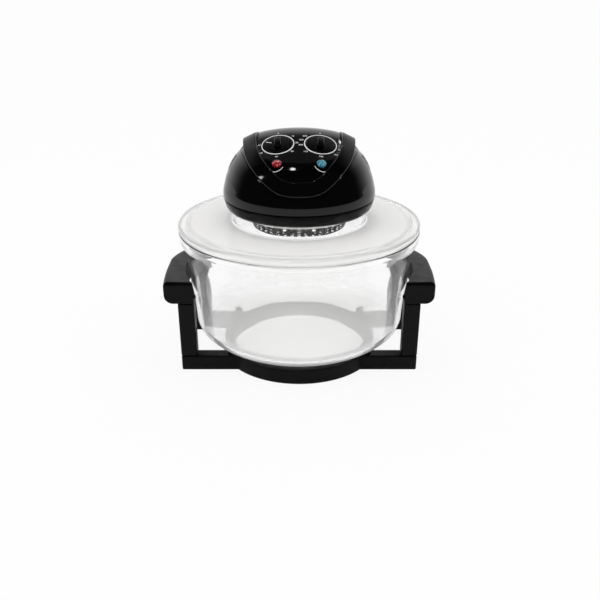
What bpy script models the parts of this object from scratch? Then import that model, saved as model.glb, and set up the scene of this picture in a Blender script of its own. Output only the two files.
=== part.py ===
"""A table-top halogen oven: a glass bowl in a stand with two side grips, and a glass lid whose
raised middle carries the black motor head with its heater, fan, controls and folding handle.

Units are metres, +Z is up, the front faces -Y, and the origin is on the table under the middle
of the bowl.  Every length is a named value; names that end in share or shares hold ratios.
"""
import bpy
import bmesh
from math import asin, atan2, cos, degrees, hypot, pi, radians, sin, sqrt, tan
from mathutils import Matrix, Vector

# Clearances and cutting
FIT_GAP = 0.0003            # between pieces that touch
RUN_GAP = 0.0006            # round a piece that turns or slides
SEAM_GAP = 0.0008           # the fine line between two mouldings
OVERRUN = 0.005             # how far a cutter reaches past what it cuts
MERGE = 0.00001             # doubles closer than this are one point

# Facets
RING_STEPS = 36
INNER_STEPS = 28
DIAL_STEPS = 24
ROD_STEPS = 10

# Stand
FRAME_TOP_Z = 0.0225
RING_SETBACK = 0.0363       # the ring is this much smaller than the top of the bowl's corner
RING_DRAFT = 0.0012
RING_WALL = 0.0150
RING_INSET = 0.0005         # the ring is this much lower than the bars, above and below
BAR_SETBACK = 0.0015        # the bars end this much inside the bowl's rim
BAR_DEPTH = 0.0200
BAR_MIDDLE_Y = 0.0636
BAR_ROUND = 0.0022
UPRIGHT_WIDTH = 0.0224
UPRIGHT_ROUND = 0.0020
GRIP_BOTTOM_Z = 0.1050
GRIP_TOP_Z = 0.1360
GRIP_BOWL_CLEARANCE = 0.0035
GRIP_REACH_MIDDLE = 0.0210  # how far the grips reach past the bowl's rim, and past it in front
GRIP_REACH_FRONT = 0.0165
GRIP_REAR_SETBACK = 0.0020
GRIP_REAR_BEND_Y = 0.0200
GRIP_ROUND_TOP = 0.0050
GRIP_ROUND_BOTTOM = 0.0120
TENON_HEIGHT = 0.0090
TENON_INSET = 0.0045
TENON_INNER_INSET = 0.0085
STAND_SCREW_RADIUS = 0.0024
STAND_SCREW_OUTSET = 0.0020
STAND_SCREW_HEAD_RADIUS = 0.0045
STAND_SCREW_HEAD_HEIGHT = 0.0030
STAND_SCREW_SINK = 0.0070
STAND_SCREW_BITE = 0.0140
STUD_SETBACK = 0.0167       # the studs stand this much inside the ring's outer side
STUD_RADIUS = 0.0058
BUMPER_RADIUS = 0.0030
BUMPER_RISE = 0.0055

# Glass bowl
BOWL_RIM_RADIUS = 0.1700
BOWL_FLARE = 0.0190         # the rim is this much wider than the top of the corner
BOWL_CORNER_WIDTH = 0.0970
BOWL_BOTTOM_Z = 0.0215
BOWL_CORNER_HEIGHT = 0.0430
BOWL_GLASS = 0.0045
BOWL_RIM_Z = 0.1970
BOWL_LIP_HEIGHT = 0.0090
BOWL_CORNER_STEPS = 6
# Points of the wall between the corner and the lip: how far out of the way from wall radius to
# rim radius, and how far up of the way from the corner's top to the lip.
BOWL_WALL_SHARES = ((0.10, 0.23), (0.26, 0.41), (0.48, 0.575), (0.50, 0.79), (0.90, 0.945))

# Glass lid
LID_BEAD_HEIGHT = 0.0080
LID_BEAD_WIDTH = 0.0110
LID_TOP_Z = 0.2062
LID_GLASS = 0.0040
LID_SKIRT_INSET = 0.0105    # the lid's skirt is this much inside its rim
LID_SKIRT_DROP = 0.0040
LID_NECK_RADIUS = 0.0936
LID_NECK_TOP_Z = 0.2286
LID_NECK_ROUND = 0.0030
LID_FLANGE_RADIUS = 0.0805

# Head: lower housing
HEAD_SKIRT_Z = 0.2240
HEAD_SKIRT_RADIUS = 0.0985
HEAD_SKIRT_WALL = 0.0032
LOWER_TOP_Z = 0.2396
LOWER_TOP_RADIUS = 0.1050
LOWER_WALL = 0.0030
LOWER_FLOOR = 0.0025
LOWER_HOLE_RADIUS = 0.0300
SPIGOT_HEIGHT = 0.0040
GASKET_HEIGHT = 0.0015
GASKET_WIDTH = 0.0100

# Head: dome and cap
DOME_BASE_Z = 0.2414
DOME_RADIUS = 0.1056
DOME_APEX_Z = 0.3360
SHELL_WALL = 0.0034
# The dome's outline from its apex to its base: radius as a share of DOME_RADIUS, and height as
# a share of the way from DOME_BASE_Z to DOME_APEX_Z.
DOME_SHARES = (
    (0.150, 0.997), (0.300, 0.985), (0.440, 0.953), (0.540, 0.908), (0.620, 0.847),
    (0.682, 0.770), (0.729, 0.693),
    (0.780, 0.620), (0.848, 0.534), (0.896, 0.445), (0.928, 0.355), (0.956, 0.271),
    (0.979, 0.175), (0.996, 0.091), (1.000, 0.000))
CAP_CREST_Z = 0.3301
CAP_CREST_Y = 0.0078
CAP_CREST_RADIUS = 0.0600
CAP_CROSS_RADIUS = 0.2500
CAP_SLOPE_DEG = 21.8
CAP_BLEND = 0.0080
SEAM_SHOULDER_Z = 0.3035
SEAM_FRONT_Z = 0.2630
SEAM_FRONT_Y = 0.1040
SEAM_POWER_SHARE = 2.5
SEAM_STEPS = 14
VENT_COUNT = 6
VENT_WIDTH = 0.0046
VENT_PITCH = 0.0090
VENT_FIRST_Y = -0.0120
VENT_BOTTOM_Z = 0.2770
VENT_TOP_Z = 0.2970
POST_RADIUS = 0.0045
POST_CIRCLE_RADIUS = 0.0700
POST_ANGLES_DEG = (45.0, 135.0, 270.0)
HOUSING_SCREW_RADIUS = 0.0015
HOUSING_SCREW_HEAD_RADIUS = 0.0035
HOUSING_SCREW_HEAD_HEIGHT = 0.0022
HOUSING_SCREW_BITE = 0.0140

# Carry handle
PIVOT_X = 0.0650
PIVOT_Z = 0.3145
EYE_RADIUS = 0.0145
POCKET_GAP = 0.0013         # room round the eye in which the strap's ends swing
STRAP_WIDTH = 0.0190
STRAP_THICKNESS = 0.0045
STRAP_STANDOFF = 0.0009
STRAP_EDGE = 0.0013
STRAP_FRONT_Y = 0.0988
STRAP_POWER_SHARE = 2.35
STRAP_STATIONS = 23
STRAP_END_SHARES = (0.30, 0.60)     # extra stations near each end, as shares of one step
HUB_RISE = 0.0018           # how far the eyes stand out of the head
HUB_SINK = 0.0024           # how far the strap's ends dip into their pockets
HUB_SINK_REACH = 0.0110
POCKET_WALL = 0.0030
POCKET_BACK = 0.0055
PIN_RADIUS = 0.0025
PIN_BITE = 0.0095           # how far a pin reaches into its eye

# Dials, knobs and lamps
DIAL_X = 0.0280
DIAL_Y = -0.0340
DIAL_RADIUS = 0.0217
DIAL_BAND = 0.0014
DIAL_THICKNESS = 0.0018
DIAL_SINK = 0.0014
KNOB_RADIUS = 0.0190
KNOB_HEIGHT = 0.0012
KNOB_ROUND = 0.0006
KNOB_BAR_LENGTH = 0.0190
KNOB_BAR_WIDTH = 0.0090
KNOB_BAR_HEIGHT = 0.0048
KNOB_BAR_ROUND = 0.0012
SPINDLE_GRIP = 0.0032       # how far the spindle reaches up inside the knob's bar
SPINDLE_RADIUS = 0.0030
BUSHING_RADIUS = 0.0060
CONTROL_WIDTH = 0.0360
CONTROL_DEPTH = 0.0330
CONTROL_HEIGHT = 0.0180
CONTROL_DROP = 0.0075
LAMP_X = 0.0285
LAMP_Y = -0.0735
LENS_RADIUS = 0.0064
LENS_DOME = 0.0040
LENS_STEM_RADIUS = 0.0056
LENS_STEM = 0.0160

# Safety switch
PLUNGER_X = 0.0620
PLUNGER_GAP = 0.0010        # between the hub's outer side and the plunger
PLUNGER_RADIUS = 0.0020
SWITCH_WIDTH = 0.0100
SWITCH_LENGTH = 0.0240
SWITCH_HEIGHT = 0.0120

# Power inlet and small electrical pieces
INLET_WIDTH = 0.0274
INLET_HEIGHT = 0.0190
INLET_DEPTH = 0.0230
INLET_WALL = 0.0025
INLET_BASE = 0.0050
INLET_PROUD = 0.0008
INLET_BOTTOM_Z = 0.2460
INLET_PIN_WIDTH = 0.0040
INLET_PIN_THICKNESS = 0.0020
INLET_PIN_LENGTH = 0.0100
INLET_PIN_PITCH = 0.0070
BLOCK_X = -0.0600
BLOCK_Y = 0.0120
BLOCK_WIDTH = 0.0160
BLOCK_LENGTH = 0.0320
BLOCK_HEIGHT = 0.0130
CUTOUT_X = 0.0560
CUTOUT_Y = 0.0300
CUTOUT_RADIUS = 0.0080
CUTOUT_HEIGHT = 0.0070

# Heater
REFLECTOR_Z = 0.2148
REFLECTOR_SHEET = 0.0010
REFLECTOR_FLAT_RADIUS = 0.0765
REFLECTOR_RIM_RADIUS = 0.0880
HEATER_STUD_X = 0.0703
STUD_SHOULDER_RADIUS = 0.0048
STUD_NECK_RADIUS = 0.0034
STUD_THREAD_RADIUS = 0.0018
STUD_HEAD_RADIUS = 0.0034
STUD_HEAD_HEIGHT = 0.0020
SHIELD_Z = 0.2262
SHIELD_SHEET = 0.0008
SHIELD_RADIUS = 0.0790
SHAFT_HOLE_RADIUS = 0.0055
GUARD_RADIUS = 0.0660
GUARD_SHEET = 0.0012
GUARD_BOTTOM_Z = 0.1985
GUARD_FLANGE_WIDTH = 0.0085
GUARD_SLOT_COUNT = 40
GUARD_SLOT_WIDTH = 0.0052
GUARD_SLOT_MARGIN = 0.0036
GUARD_RIB_COUNT = 12
GUARD_RIB_SLOT_WIDTH = 0.0080
GUARD_RIB_INNER_RADIUS = 0.0200
GUARD_RIB_OUTER_RADIUS = 0.0560
TUBE_RING_RADIUS = 0.0460
TUBE_RADIUS = 0.0050
TUBE_GLASS = 0.0009
TUBE_Z = 0.2068
TUBE_GAP_DEG = 40.0
TUBE_STEPS = 22
FILAMENT_RADIUS = 0.0011
CAP_BLOCK_SIZE = 0.0130
CAP_BLOCK_LENGTH = 0.0110
CLIP_WIDTH = 0.0050
CLIP_SHEET = 0.0008
CLIP_ANGLE_DEG = 270.0

# Thermostat sensor
BULB_RADIUS = 0.0022
BULB_LENGTH = 0.0320
BULB_Y = -0.0585
BULB_Z = 0.2105
CAPILLARY_RADIUS = 0.0008
CAPILLARY_X = 0.0285
CAPILLARY_HOLE_RADIUS = 0.0020

# Motor
MOTOR_FOOT_X = 0.0250
MOTOR_FOOT_Y = 0.0160
MOTOR_LOWER_Z = 0.2370
MOTOR_UPPER_Z = 0.2640
BRACKET_SHEET = 0.0015
BRACKET_WIDTH = 0.0240
BRACKET_LENGTH = 0.0640
STATOR_Z = 0.2420
STATOR_HEIGHT = 0.0180
STATOR_HALF_WIDTH = 0.0300
STATOR_FRONT_Y = -0.0220
STATOR_REAR_Y = 0.0360
STATOR_LEG = 0.0080
STATOR_WINDOW = 0.0100
STATOR_WINDOW_HALF_WIDTH = 0.0160
COIL_HALF_LENGTH = 0.0140
COIL_WALL = 0.0040
ROTOR_RADIUS = 0.0138
SHAFT_RADIUS = 0.0025
BEARING_RADIUS = 0.0055
BEARING_HEIGHT = 0.0050
SHAFT_BOTTOM_Z = 0.2020
SHAFT_TOP_Z = 0.2800
COOLING_FAN_Z = 0.2700
COOLING_FAN_RADIUS = 0.0370
COOLING_FAN_HEIGHT = 0.0090
COOLING_BLADES = 8
CONVECTION_FAN_Z = 0.2052
CONVECTION_FAN_RADIUS = 0.0330
CONVECTION_FAN_HEIGHT = 0.0062
CONVECTION_BLADES = 6
FAN_HUB_RADIUS = 0.0080
FAN_PLATE = 0.0010
MOTOR_SCREW_RADIUS = 0.0015
MOTOR_SCREW_HEAD_RADIUS = 0.0030
MOTOR_SCREW_HEAD_HEIGHT = 0.0020

# Worked out from the sizes above
UP = Vector((0, 0, 1))
ALONG_X = Matrix.Rotation(pi / 2, 4, "Y")
FRAME_BOTTOM_Z = 0
BOWL_WALL_RADIUS = BOWL_RIM_RADIUS - BOWL_FLARE
BOWL_FLOOR_RADIUS = BOWL_WALL_RADIUS - BOWL_CORNER_WIDTH
LID_RADIUS = BOWL_RIM_RADIUS
LID_SKIRT_RADIUS = LID_RADIUS - LID_SKIRT_INSET
RING_RADIUS = BOWL_WALL_RADIUS - RING_SETBACK
STUD_X = RING_RADIUS - STUD_SETBACK
BAR_LENGTH = 2 * (BOWL_RIM_RADIUS - BAR_SETBACK)
GRIP_OUT_MIDDLE = BOWL_RIM_RADIUS + GRIP_REACH_MIDDLE
GRIP_OUT_FRONT = BOWL_RIM_RADIUS + GRIP_REACH_FRONT
GRIP_OUT_REAR = BOWL_RIM_RADIUS - GRIP_REAR_SETBACK
UPRIGHT_X = BAR_LENGTH / 2 - UPRIGHT_WIDTH / 2
STAND_SCREW_X = UPRIGHT_X + STAND_SCREW_OUTSET
RING_INNER_RADIUS = RING_RADIUS - RING_WALL
BOWL_CORNER_TOP_Z = BOWL_BOTTOM_Z + BOWL_CORNER_HEIGHT
BOWL_LIP_Z = BOWL_RIM_Z - BOWL_LIP_HEIGHT
LID_BOTTOM_Z = BOWL_RIM_Z + FIT_GAP
LOWER_FLOOR_Z = LID_NECK_TOP_Z + GASKET_HEIGHT + 2 * FIT_GAP
FLOOR_TOP_Z = LOWER_FLOOR_Z + LOWER_FLOOR
SPIGOT_RADIUS = DOME_RADIUS - SHELL_WALL - FIT_GAP
EYE_HALF = STRAP_WIDTH / 2
POCKET_RADIUS = EYE_RADIUS + POCKET_GAP
HUB_RADIUS = POCKET_RADIUS + POCKET_WALL
PLUNGER_Y = -HUB_RADIUS - PLUNGER_GAP - PLUNGER_RADIUS
REFLECTOR_RIM_Z = LID_NECK_TOP_Z - LID_GLASS - FIT_GAP
CORNER_SIGNS = ((-1, -1), (1, -1), (-1, 1), (1, 1))
CORNER_NAMES = ("front_left", "front_right", "rear_left", "rear_right")
SIDES = (("left", -1), ("right", 1))


def start_clean():
    """Remove what the scene holds and make the two collections."""
    for old in list(bpy.data.objects):
        bpy.data.objects.remove(old, do_unlink=True)
    made = []
    for name in ("halogen_oven", "cutters"):
        collection = bpy.data.collections.new(name)
        bpy.context.scene.collection.children.link(collection)
        made.append(collection)
    return made


PARTS, CUTTERS = start_clean()


# Materials

def material(name, colour, roughness, metallic=0.0, transmission=0.0):
    made = bpy.data.materials.new(name)
    made.use_nodes = True
    shader = made.node_tree.nodes["Principled BSDF"]
    shader.inputs["Base Color"].default_value = (*colour, 1.0)
    shader.inputs["Roughness"].default_value = roughness
    shader.inputs["Metallic"].default_value = metallic
    shader.inputs["Transmission Weight"].default_value = transmission
    made.diffuse_color = (*colour, 1.0)
    return made


SATIN_BLACK = material("satin_black_plastic", (0.030, 0.027, 0.028), 0.38)
GLOSS_BLACK = material("gloss_black_plastic", (0.010, 0.009, 0.010), 0.08)
BOWL_CLEAR = material("clear_glass", (0.93, 0.96, 0.95), 0.02, transmission=1.0)
LID_CLEAR = material("lid_glass", (0.94, 0.95, 0.94), 0.03, transmission=0.95)
QUARTZ = material("quartz", (0.92, 0.92, 0.90), 0.05, transmission=0.9)
SILICONE = material("grey_silicone", (0.32, 0.31, 0.30), 0.70)
STEEL = material("bright_steel", (0.78, 0.77, 0.75), 0.18, 1.0)
ZINC = material("zinc_plated_steel", (0.62, 0.62, 0.60), 0.35, 1.0)
IRON = material("stamped_iron", (0.33, 0.33, 0.35), 0.45, 1.0)
COPPER = material("copper_winding", (0.72, 0.36, 0.18), 0.35, 1.0)
ALUMINIUM = material("aluminium", (0.80, 0.81, 0.82), 0.30, 1.0)
CERAMIC = material("white_ceramic", (0.85, 0.83, 0.78), 0.55)
WHITE_PLASTIC = material("white_plastic", (0.88, 0.88, 0.88), 0.35)
BROWN_RESIN = material("brown_resin", (0.20, 0.12, 0.08), 0.50)
RED_LENS = material("red_lens", (0.62, 0.02, 0.03), 0.08, transmission=0.5)
TEAL_LENS = material("teal_lens", (0.05, 0.42, 0.50), 0.08, transmission=0.5)
TUNGSTEN = material("tungsten", (0.35, 0.33, 0.31), 0.40, 1.0)


# Shared modelling steps

def link(thing, name, finish=None):
    """Name an object and put it with the parts, or with the cutters if it has no finish."""
    thing.name = name
    if finish is None:
        CUTTERS.objects.link(thing)
        thing.hide_render = True
        thing.display_type = "WIRE"
        return thing
    PARTS.objects.link(thing)
    thing.data.materials.clear()
    thing.data.materials.append(finish)
    return thing


def from_bmesh(shape, name, finish=None, smooth_deg=0.0):
    """Turn a bmesh into a named object with outward faces."""
    bmesh.ops.recalc_face_normals(shape, faces=shape.faces)
    mesh = bpy.data.meshes.new(name)
    shape.to_mesh(mesh)
    shape.free()
    if smooth_deg:
        mesh.shade_smooth()
        mesh.set_sharp_from_angle(angle=radians(smooth_deg))
    return link(bpy.data.objects.new(name, mesh), name, finish)


def evaluated_mesh(thing):
    """The mesh that an object's modifiers or curve settings give."""
    bpy.context.view_layer.update()
    graph = bpy.context.evaluated_depsgraph_get()
    return bpy.data.meshes.new_from_object(thing.evaluated_get(graph))


def add_box(shape, low, high):
    """Add a box between two corners to a bmesh."""
    size = [b - a for a, b in zip(low, high)]
    middle = [(a + b) / 2 for a, b in zip(low, high)]
    place = Matrix.Translation(middle) @ Matrix.Diagonal((*size, 1))
    return bmesh.ops.create_cube(shape, size=1, matrix=place)["verts"]


def add_rod(shape, radius, low, high, place=Matrix(), steps=ROD_STEPS, tip_radius=None):
    """Add a cylinder or cone from low to high on the local Z axis of place."""
    middle = Matrix.Translation((0, 0, (low + high) / 2))
    top = radius if tip_radius is None else tip_radius
    bmesh.ops.create_cone(shape, cap_ends=True, segments=steps, radius1=radius, radius2=top,
                          depth=high - low, matrix=place @ middle)


def box(name, low, high, finish=None, rounding=0.0, segments=2):
    shape = bmesh.new()
    add_box(shape, low, high)
    made = from_bmesh(shape, name, finish, smooth_deg=40 if rounding else 0)
    if rounding:
        soften(made, rounding, segments)
    return made


def rod(name, radius, low, high, finish=None, place=Matrix(), steps=ROD_STEPS, tip_radius=None):
    shape = bmesh.new()
    add_rod(shape, radius, low, high, place, steps, tip_radius)
    return from_bmesh(shape, name, finish, smooth_deg=40)


def soften(thing, width, segments=2, angle_deg=35.0):
    """Round an object's edges."""
    bevel = thing.modifiers.new("rounded edges", "BEVEL")
    bevel.width = width
    bevel.segments = segments
    bevel.limit_method = "ANGLE"
    bevel.angle_limit = radians(angle_deg)


def combine(thing, other, operation):
    """Join, cut or intersect an object with another one."""
    joint = thing.modifiers.new(operation.lower(), "BOOLEAN")
    joint.operation = operation
    joint.object = other
    joint.solver = "EXACT"
    return thing


def cut(thing, *cutters):
    for cutter in cutters:
        combine(thing, cutter, "DIFFERENCE")
    return thing


def join(thing, *others):
    for other in others:
        combine(thing, other, "UNION")
    return thing


def settle(thing):
    """Keep what the modifiers made as the object's own mesh."""
    mesh = evaluated_mesh(thing)
    thing.modifiers.clear()
    thing.data = mesh
    return thing


def turned(name, profile, finish=None, steps=RING_STEPS, closed=True, smooth_deg=32.0, inner=()):
    """Turn a profile of (radius, height) points, outer side first and downwards, about Z."""
    mesh = bpy.data.meshes.new(name)
    points = [(radius, 0, height) for radius, height in profile]
    edges = [(i, i + 1) for i in range(len(points) - 1)]
    if closed:
        edges.append((len(points) - 1, 0))
    mesh.from_pydata(points, edges, [])
    made = link(bpy.data.objects.new(name, mesh), name, finish)
    if inner:
        made.vertex_groups.new(name="inner").add(list(inner), 1, "REPLACE")
    screw = made.modifiers.new("turned", "SCREW")
    screw.steps = screw.render_steps = steps
    screw.use_merge_vertices = True
    screw.merge_threshold = MERGE
    screw.use_smooth_shade = True
    settle(made)
    made.data.set_sharp_from_angle(angle=radians(smooth_deg))
    return made


def ring(name, inner_radius, outer_radius, low, high, finish=None, steps=RING_STEPS):
    profile = [(inner_radius, high), (outer_radius, high), (outer_radius, low), (inner_radius, low)]
    return turned(name, profile, finish, steps)


def plate(name, outline, low, high, finish=None, place=Matrix()):
    """A flat outline of (x, y) points given a thickness from low to high, placed by a matrix."""
    curve = bpy.data.curves.new(name, "CURVE")
    curve.dimensions = "2D"
    curve.fill_mode = "BOTH"
    curve.extrude = (high - low) / 2
    spline = curve.splines.new("POLY")
    spline.points.add(len(outline) - 1)
    for point, (x, y) in zip(spline.points, outline):
        point.co = (x, y, 0, 1)
    spline.use_cyclic_u = True
    return curve_to_mesh(curve, name, finish, place @ Matrix.Translation((0, 0, (low + high) / 2)))


def wire(name, route, radius, finish=None, radii=None, closed=False, sides_resolution=1):
    """A round wire along a route of points, each with its own share of the radius if given."""
    curve = bpy.data.curves.new(name, "CURVE")
    curve.dimensions = "3D"
    curve.bevel_depth = radius
    curve.bevel_resolution = sides_resolution
    curve.use_fill_caps = True
    spline = curve.splines.new("POLY")
    spline.points.add(len(route) - 1)
    for index, (point, place) in enumerate(zip(spline.points, route)):
        point.co = (*place, 1)
        point.radius = radii[index] if radii else 1
    spline.use_cyclic_u = closed
    return curve_to_mesh(curve, name, finish, Matrix())


def curve_to_mesh(curve, name, finish, place):
    """Make a curve a mesh object with its caps welded."""
    holder = bpy.data.objects.new(name + "_curve", curve)
    CUTTERS.objects.link(holder)
    mesh = evaluated_mesh(holder)
    bpy.data.objects.remove(holder, do_unlink=True)
    shape = bmesh.new()
    shape.from_mesh(mesh)
    bmesh.ops.remove_doubles(shape, verts=shape.verts, dist=MERGE)
    bmesh.ops.transform(shape, matrix=place, verts=shape.verts)
    return from_bmesh(shape, name, finish, smooth_deg=40)


def offset_profile(points, distance):
    """Move a profile's points to its left by a distance, as a wall's other side."""
    moved = []
    for index, here in enumerate(points):
        before = points[max(index - 1, 0)]
        after = points[min(index + 1, len(points) - 1)]
        run = Vector((after[0] - before[0], after[1] - before[1])).normalized()
        moved.append((here[0] - run.y * distance, here[1] + run.x * distance))
    return moved


def around_z(angle_deg, radius=0.0, height=0.0):
    """A place at an angle and radius about Z, with its X axis pointing outwards."""
    return Matrix.Rotation(radians(angle_deg), 4, "Z") @ Matrix.Translation((radius, 0, height))


def between(low, high, share):
    return low + (high - low) * share


# Shapes that several pieces follow

def bowl_outline():
    """The bowl's outer side from the middle of its floor up to its rim."""
    width = BOWL_WALL_RADIUS - BOWL_FLOOR_RADIUS
    points = [(0, BOWL_BOTTOM_Z), (BOWL_FLOOR_RADIUS, BOWL_BOTTOM_Z)]
    for step in range(1, BOWL_CORNER_STEPS + 1):
        angle = pi / 2 * step / BOWL_CORNER_STEPS
        points.append((BOWL_FLOOR_RADIUS + width * sin(angle),
                       BOWL_CORNER_TOP_Z - BOWL_CORNER_HEIGHT * cos(angle)))
    for out_share, up_share in BOWL_WALL_SHARES:
        points.append((between(BOWL_WALL_RADIUS, BOWL_RIM_RADIUS, out_share),
                       between(BOWL_CORNER_TOP_Z, BOWL_LIP_Z, up_share)))
    points.append((BOWL_RIM_RADIUS, BOWL_LIP_Z))
    return points


def bowl_radius_at(height):
    """The bowl's outer radius at a height on its wall."""
    points = bowl_outline()
    for (r0, z0), (r1, z1) in zip(points, points[1:]):
        if z0 < height <= z1:
            return between(r0, r1, (height - z0) / (z1 - z0))
    return BOWL_RIM_RADIUS


def bowl_height_at(radius):
    """The height of the bowl's underside at a radius within its corner."""
    reach = (radius - BOWL_FLOOR_RADIUS) / (BOWL_WALL_RADIUS - BOWL_FLOOR_RADIUS)
    return BOWL_CORNER_TOP_Z - BOWL_CORNER_HEIGHT * cos(asin(min(max(reach, 0), 1)))


def dome_outline():
    """The dome's outer side from its apex down to its base."""
    points = [(0, DOME_APEX_Z)]
    for out_share, up_share in DOME_SHARES:
        points.append((DOME_RADIUS * out_share, between(DOME_BASE_Z, DOME_APEX_Z, up_share)))
    return points


def dome_height_at(radius):
    points = dome_outline()
    for (r0, z0), (r1, z1) in zip(points, points[1:]):
        if r0 <= radius < r1:
            return between(z0, z1, (radius - r0) / (r1 - r0))
    return DOME_BASE_Z


def face_height(x, y):
    """Height of the cap's gently crowned face, which slopes down to the front and the back."""
    slope = tan(radians(CAP_SLOPE_DEG))
    bend = CAP_CREST_RADIUS * slope
    reach = abs(y - CAP_CREST_Y)
    drop = min(reach, bend) ** 2 / (2 * CAP_CREST_RADIUS) + max(reach - bend, 0) * slope
    return CAP_CREST_Z - drop - x * x / (2 * CAP_CROSS_RADIUS)


def lower_of(a, b):
    """The lower of two heights, with the corner between them blended."""
    near = max(CAP_BLEND - abs(a - b), 0) / CAP_BLEND
    return min(a, b) - near * near * CAP_BLEND / 4


def head_height(x, y):
    """Height of the head's outer surface over a place."""
    return lower_of(dome_height_at(hypot(x, y)), face_height(x, y))


def head_normal(x, y):
    """The head surface's outward direction over a place."""
    step = STRAP_STANDOFF
    rise_x = head_height(x + step, y) - head_height(x - step, y)
    rise_y = head_height(x, y + step) - head_height(x, y - step)
    return Vector((-rise_x, -rise_y, 2 * step)).normalized()


def seam_height(y):
    """Height of the seam between cap and dome, the same all across X."""
    if y >= 0:
        return SEAM_SHOULDER_Z
    drop = (abs(y) / SEAM_FRONT_Y) ** SEAM_POWER_SHARE
    return SEAM_SHOULDER_Z - (SEAM_SHOULDER_Z - SEAM_FRONT_Z) * drop


def face_place(x, y):
    """A place on the cap's face, with its Z axis square to the face and Y up the slope."""
    origin = Vector((x, y, face_height(x, y)))
    slope_x = -x / CAP_CROSS_RADIUS
    slope_y = tan(radians(CAP_SLOPE_DEG))
    out = Vector((-slope_x, -slope_y, 1)).normalized()
    across = Vector((1, 0, slope_x)).normalized()
    up_slope = out.cross(across)
    turn = Matrix((across, up_slope, out)).transposed().to_4x4()
    return Matrix.Translation(origin) @ turn


def press_to_face(thing, inner_depth):
    """Lower a turned head's top to the cap's face, and its inner points deeper by the wall."""
    group = thing.vertex_groups["inner"]
    for vertex in thing.data.vertices:
        is_inner = any(g.group == group.index for g in vertex.groups)
        x, y, z = vertex.co
        vertex.co.z = lower_of(z, face_height(x, y) - (inner_depth if is_inner else 0))


# Stand

def base_frame():
    outer = [(0, FRAME_TOP_Z - RING_INSET),
             (RING_RADIUS - RING_DRAFT, FRAME_TOP_Z - RING_INSET),
             (RING_RADIUS, FRAME_BOTTOM_Z + RING_INSET), (0, FRAME_BOTTOM_Z + RING_INSET)]
    frame = turned("base_frame", outer, SATIN_BLACK, closed=False)
    for side in (-1, 1):
        middle = side * BAR_MIDDLE_Y
        bar = box(f"bar_{side}", (-BAR_LENGTH / 2, middle - BAR_DEPTH / 2, FRAME_BOTTOM_Z),
                  (BAR_LENGTH / 2, middle + BAR_DEPTH / 2, FRAME_TOP_Z), rounding=BAR_ROUND)
        join(frame, bar)
    bore = rod("ring_bore", RING_INNER_RADIUS, FRAME_BOTTOM_Z - OVERRUN, FRAME_TOP_Z + OVERRUN,
               steps=RING_STEPS)
    recesses = bmesh.new()
    shanks = bmesh.new()
    studs = bmesh.new()
    for sx, sy in CORNER_SIGNS:
        corner = Matrix.Translation((sx * STAND_SCREW_X, sy * BAR_MIDDLE_Y, 0))
        add_rod(recesses, STAND_SCREW_HEAD_RADIUS + FIT_GAP, FRAME_BOTTOM_Z - OVERRUN,
                FRAME_BOTTOM_Z + STAND_SCREW_SINK, corner)
        add_rod(shanks, STAND_SCREW_RADIUS + FIT_GAP, FRAME_BOTTOM_Z, FRAME_TOP_Z + OVERRUN,
                corner)
        add_rod(studs, STUD_RADIUS, FRAME_TOP_Z - OVERRUN, BOWL_CORNER_TOP_Z,
                Matrix.Translation((sx * STUD_X, sy * BAR_MIDDLE_Y, 0)))
    cut(frame, bore, from_bmesh(recesses, "frame_recesses"), from_bmesh(shanks, "frame_shanks"))
    join(frame, from_bmesh(studs, "bowl_studs"))
    return cut(frame, bowl_space())


def bowl_space():
    """The room that the bowl takes, with its clearance, for cutting what lies under it."""
    lowered = [(radius, height - FIT_GAP) for radius, height in reversed(bowl_outline())]
    profile = [(0, BOWL_RIM_Z), (BOWL_RIM_RADIUS, BOWL_RIM_Z)] + lowered
    return turned("bowl_space", profile, closed=False)


def uprights():
    half_x = UPRIGHT_WIDTH / 2
    half_y = BAR_DEPTH / 2
    bottom = FRAME_TOP_Z + FIT_GAP
    top = GRIP_BOTTOM_Z - FIT_GAP
    for corner, (sx, sy) in zip(CORNER_NAMES, CORNER_SIGNS):
        name = "upright_" + corner
        x = sx * UPRIGHT_X
        y = sy * BAR_MIDDLE_Y
        column = box(name, (x - half_x, y - half_y, bottom), (x + half_x, y + half_y, top),
                     SATIN_BLACK, rounding=UPRIGHT_ROUND)
        low_x, high_x = tenon_span(sx)
        tenon = box(name + "_tenon", (low_x, y - half_y + TENON_INSET, top - OVERRUN),
                    (high_x, y + half_y - TENON_INSET, top + TENON_HEIGHT))
        bore = rod(name + "_bore", STAND_SCREW_RADIUS + FIT_GAP, bottom - OVERRUN,
                   top + TENON_HEIGHT + OVERRUN,
                   place=Matrix.Translation((sx * STAND_SCREW_X, y, 0)))
        cut(join(column, tenon), bore)


def tenon_span(side):
    """Where a tenon starts and ends across X, thinner on the side that faces the bowl."""
    inner = side * (UPRIGHT_X - UPRIGHT_WIDTH / 2 + TENON_INNER_INSET)
    outer = side * (UPRIGHT_X + UPRIGHT_WIDTH / 2 - TENON_INSET)
    return sorted((inner, outer))


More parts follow.
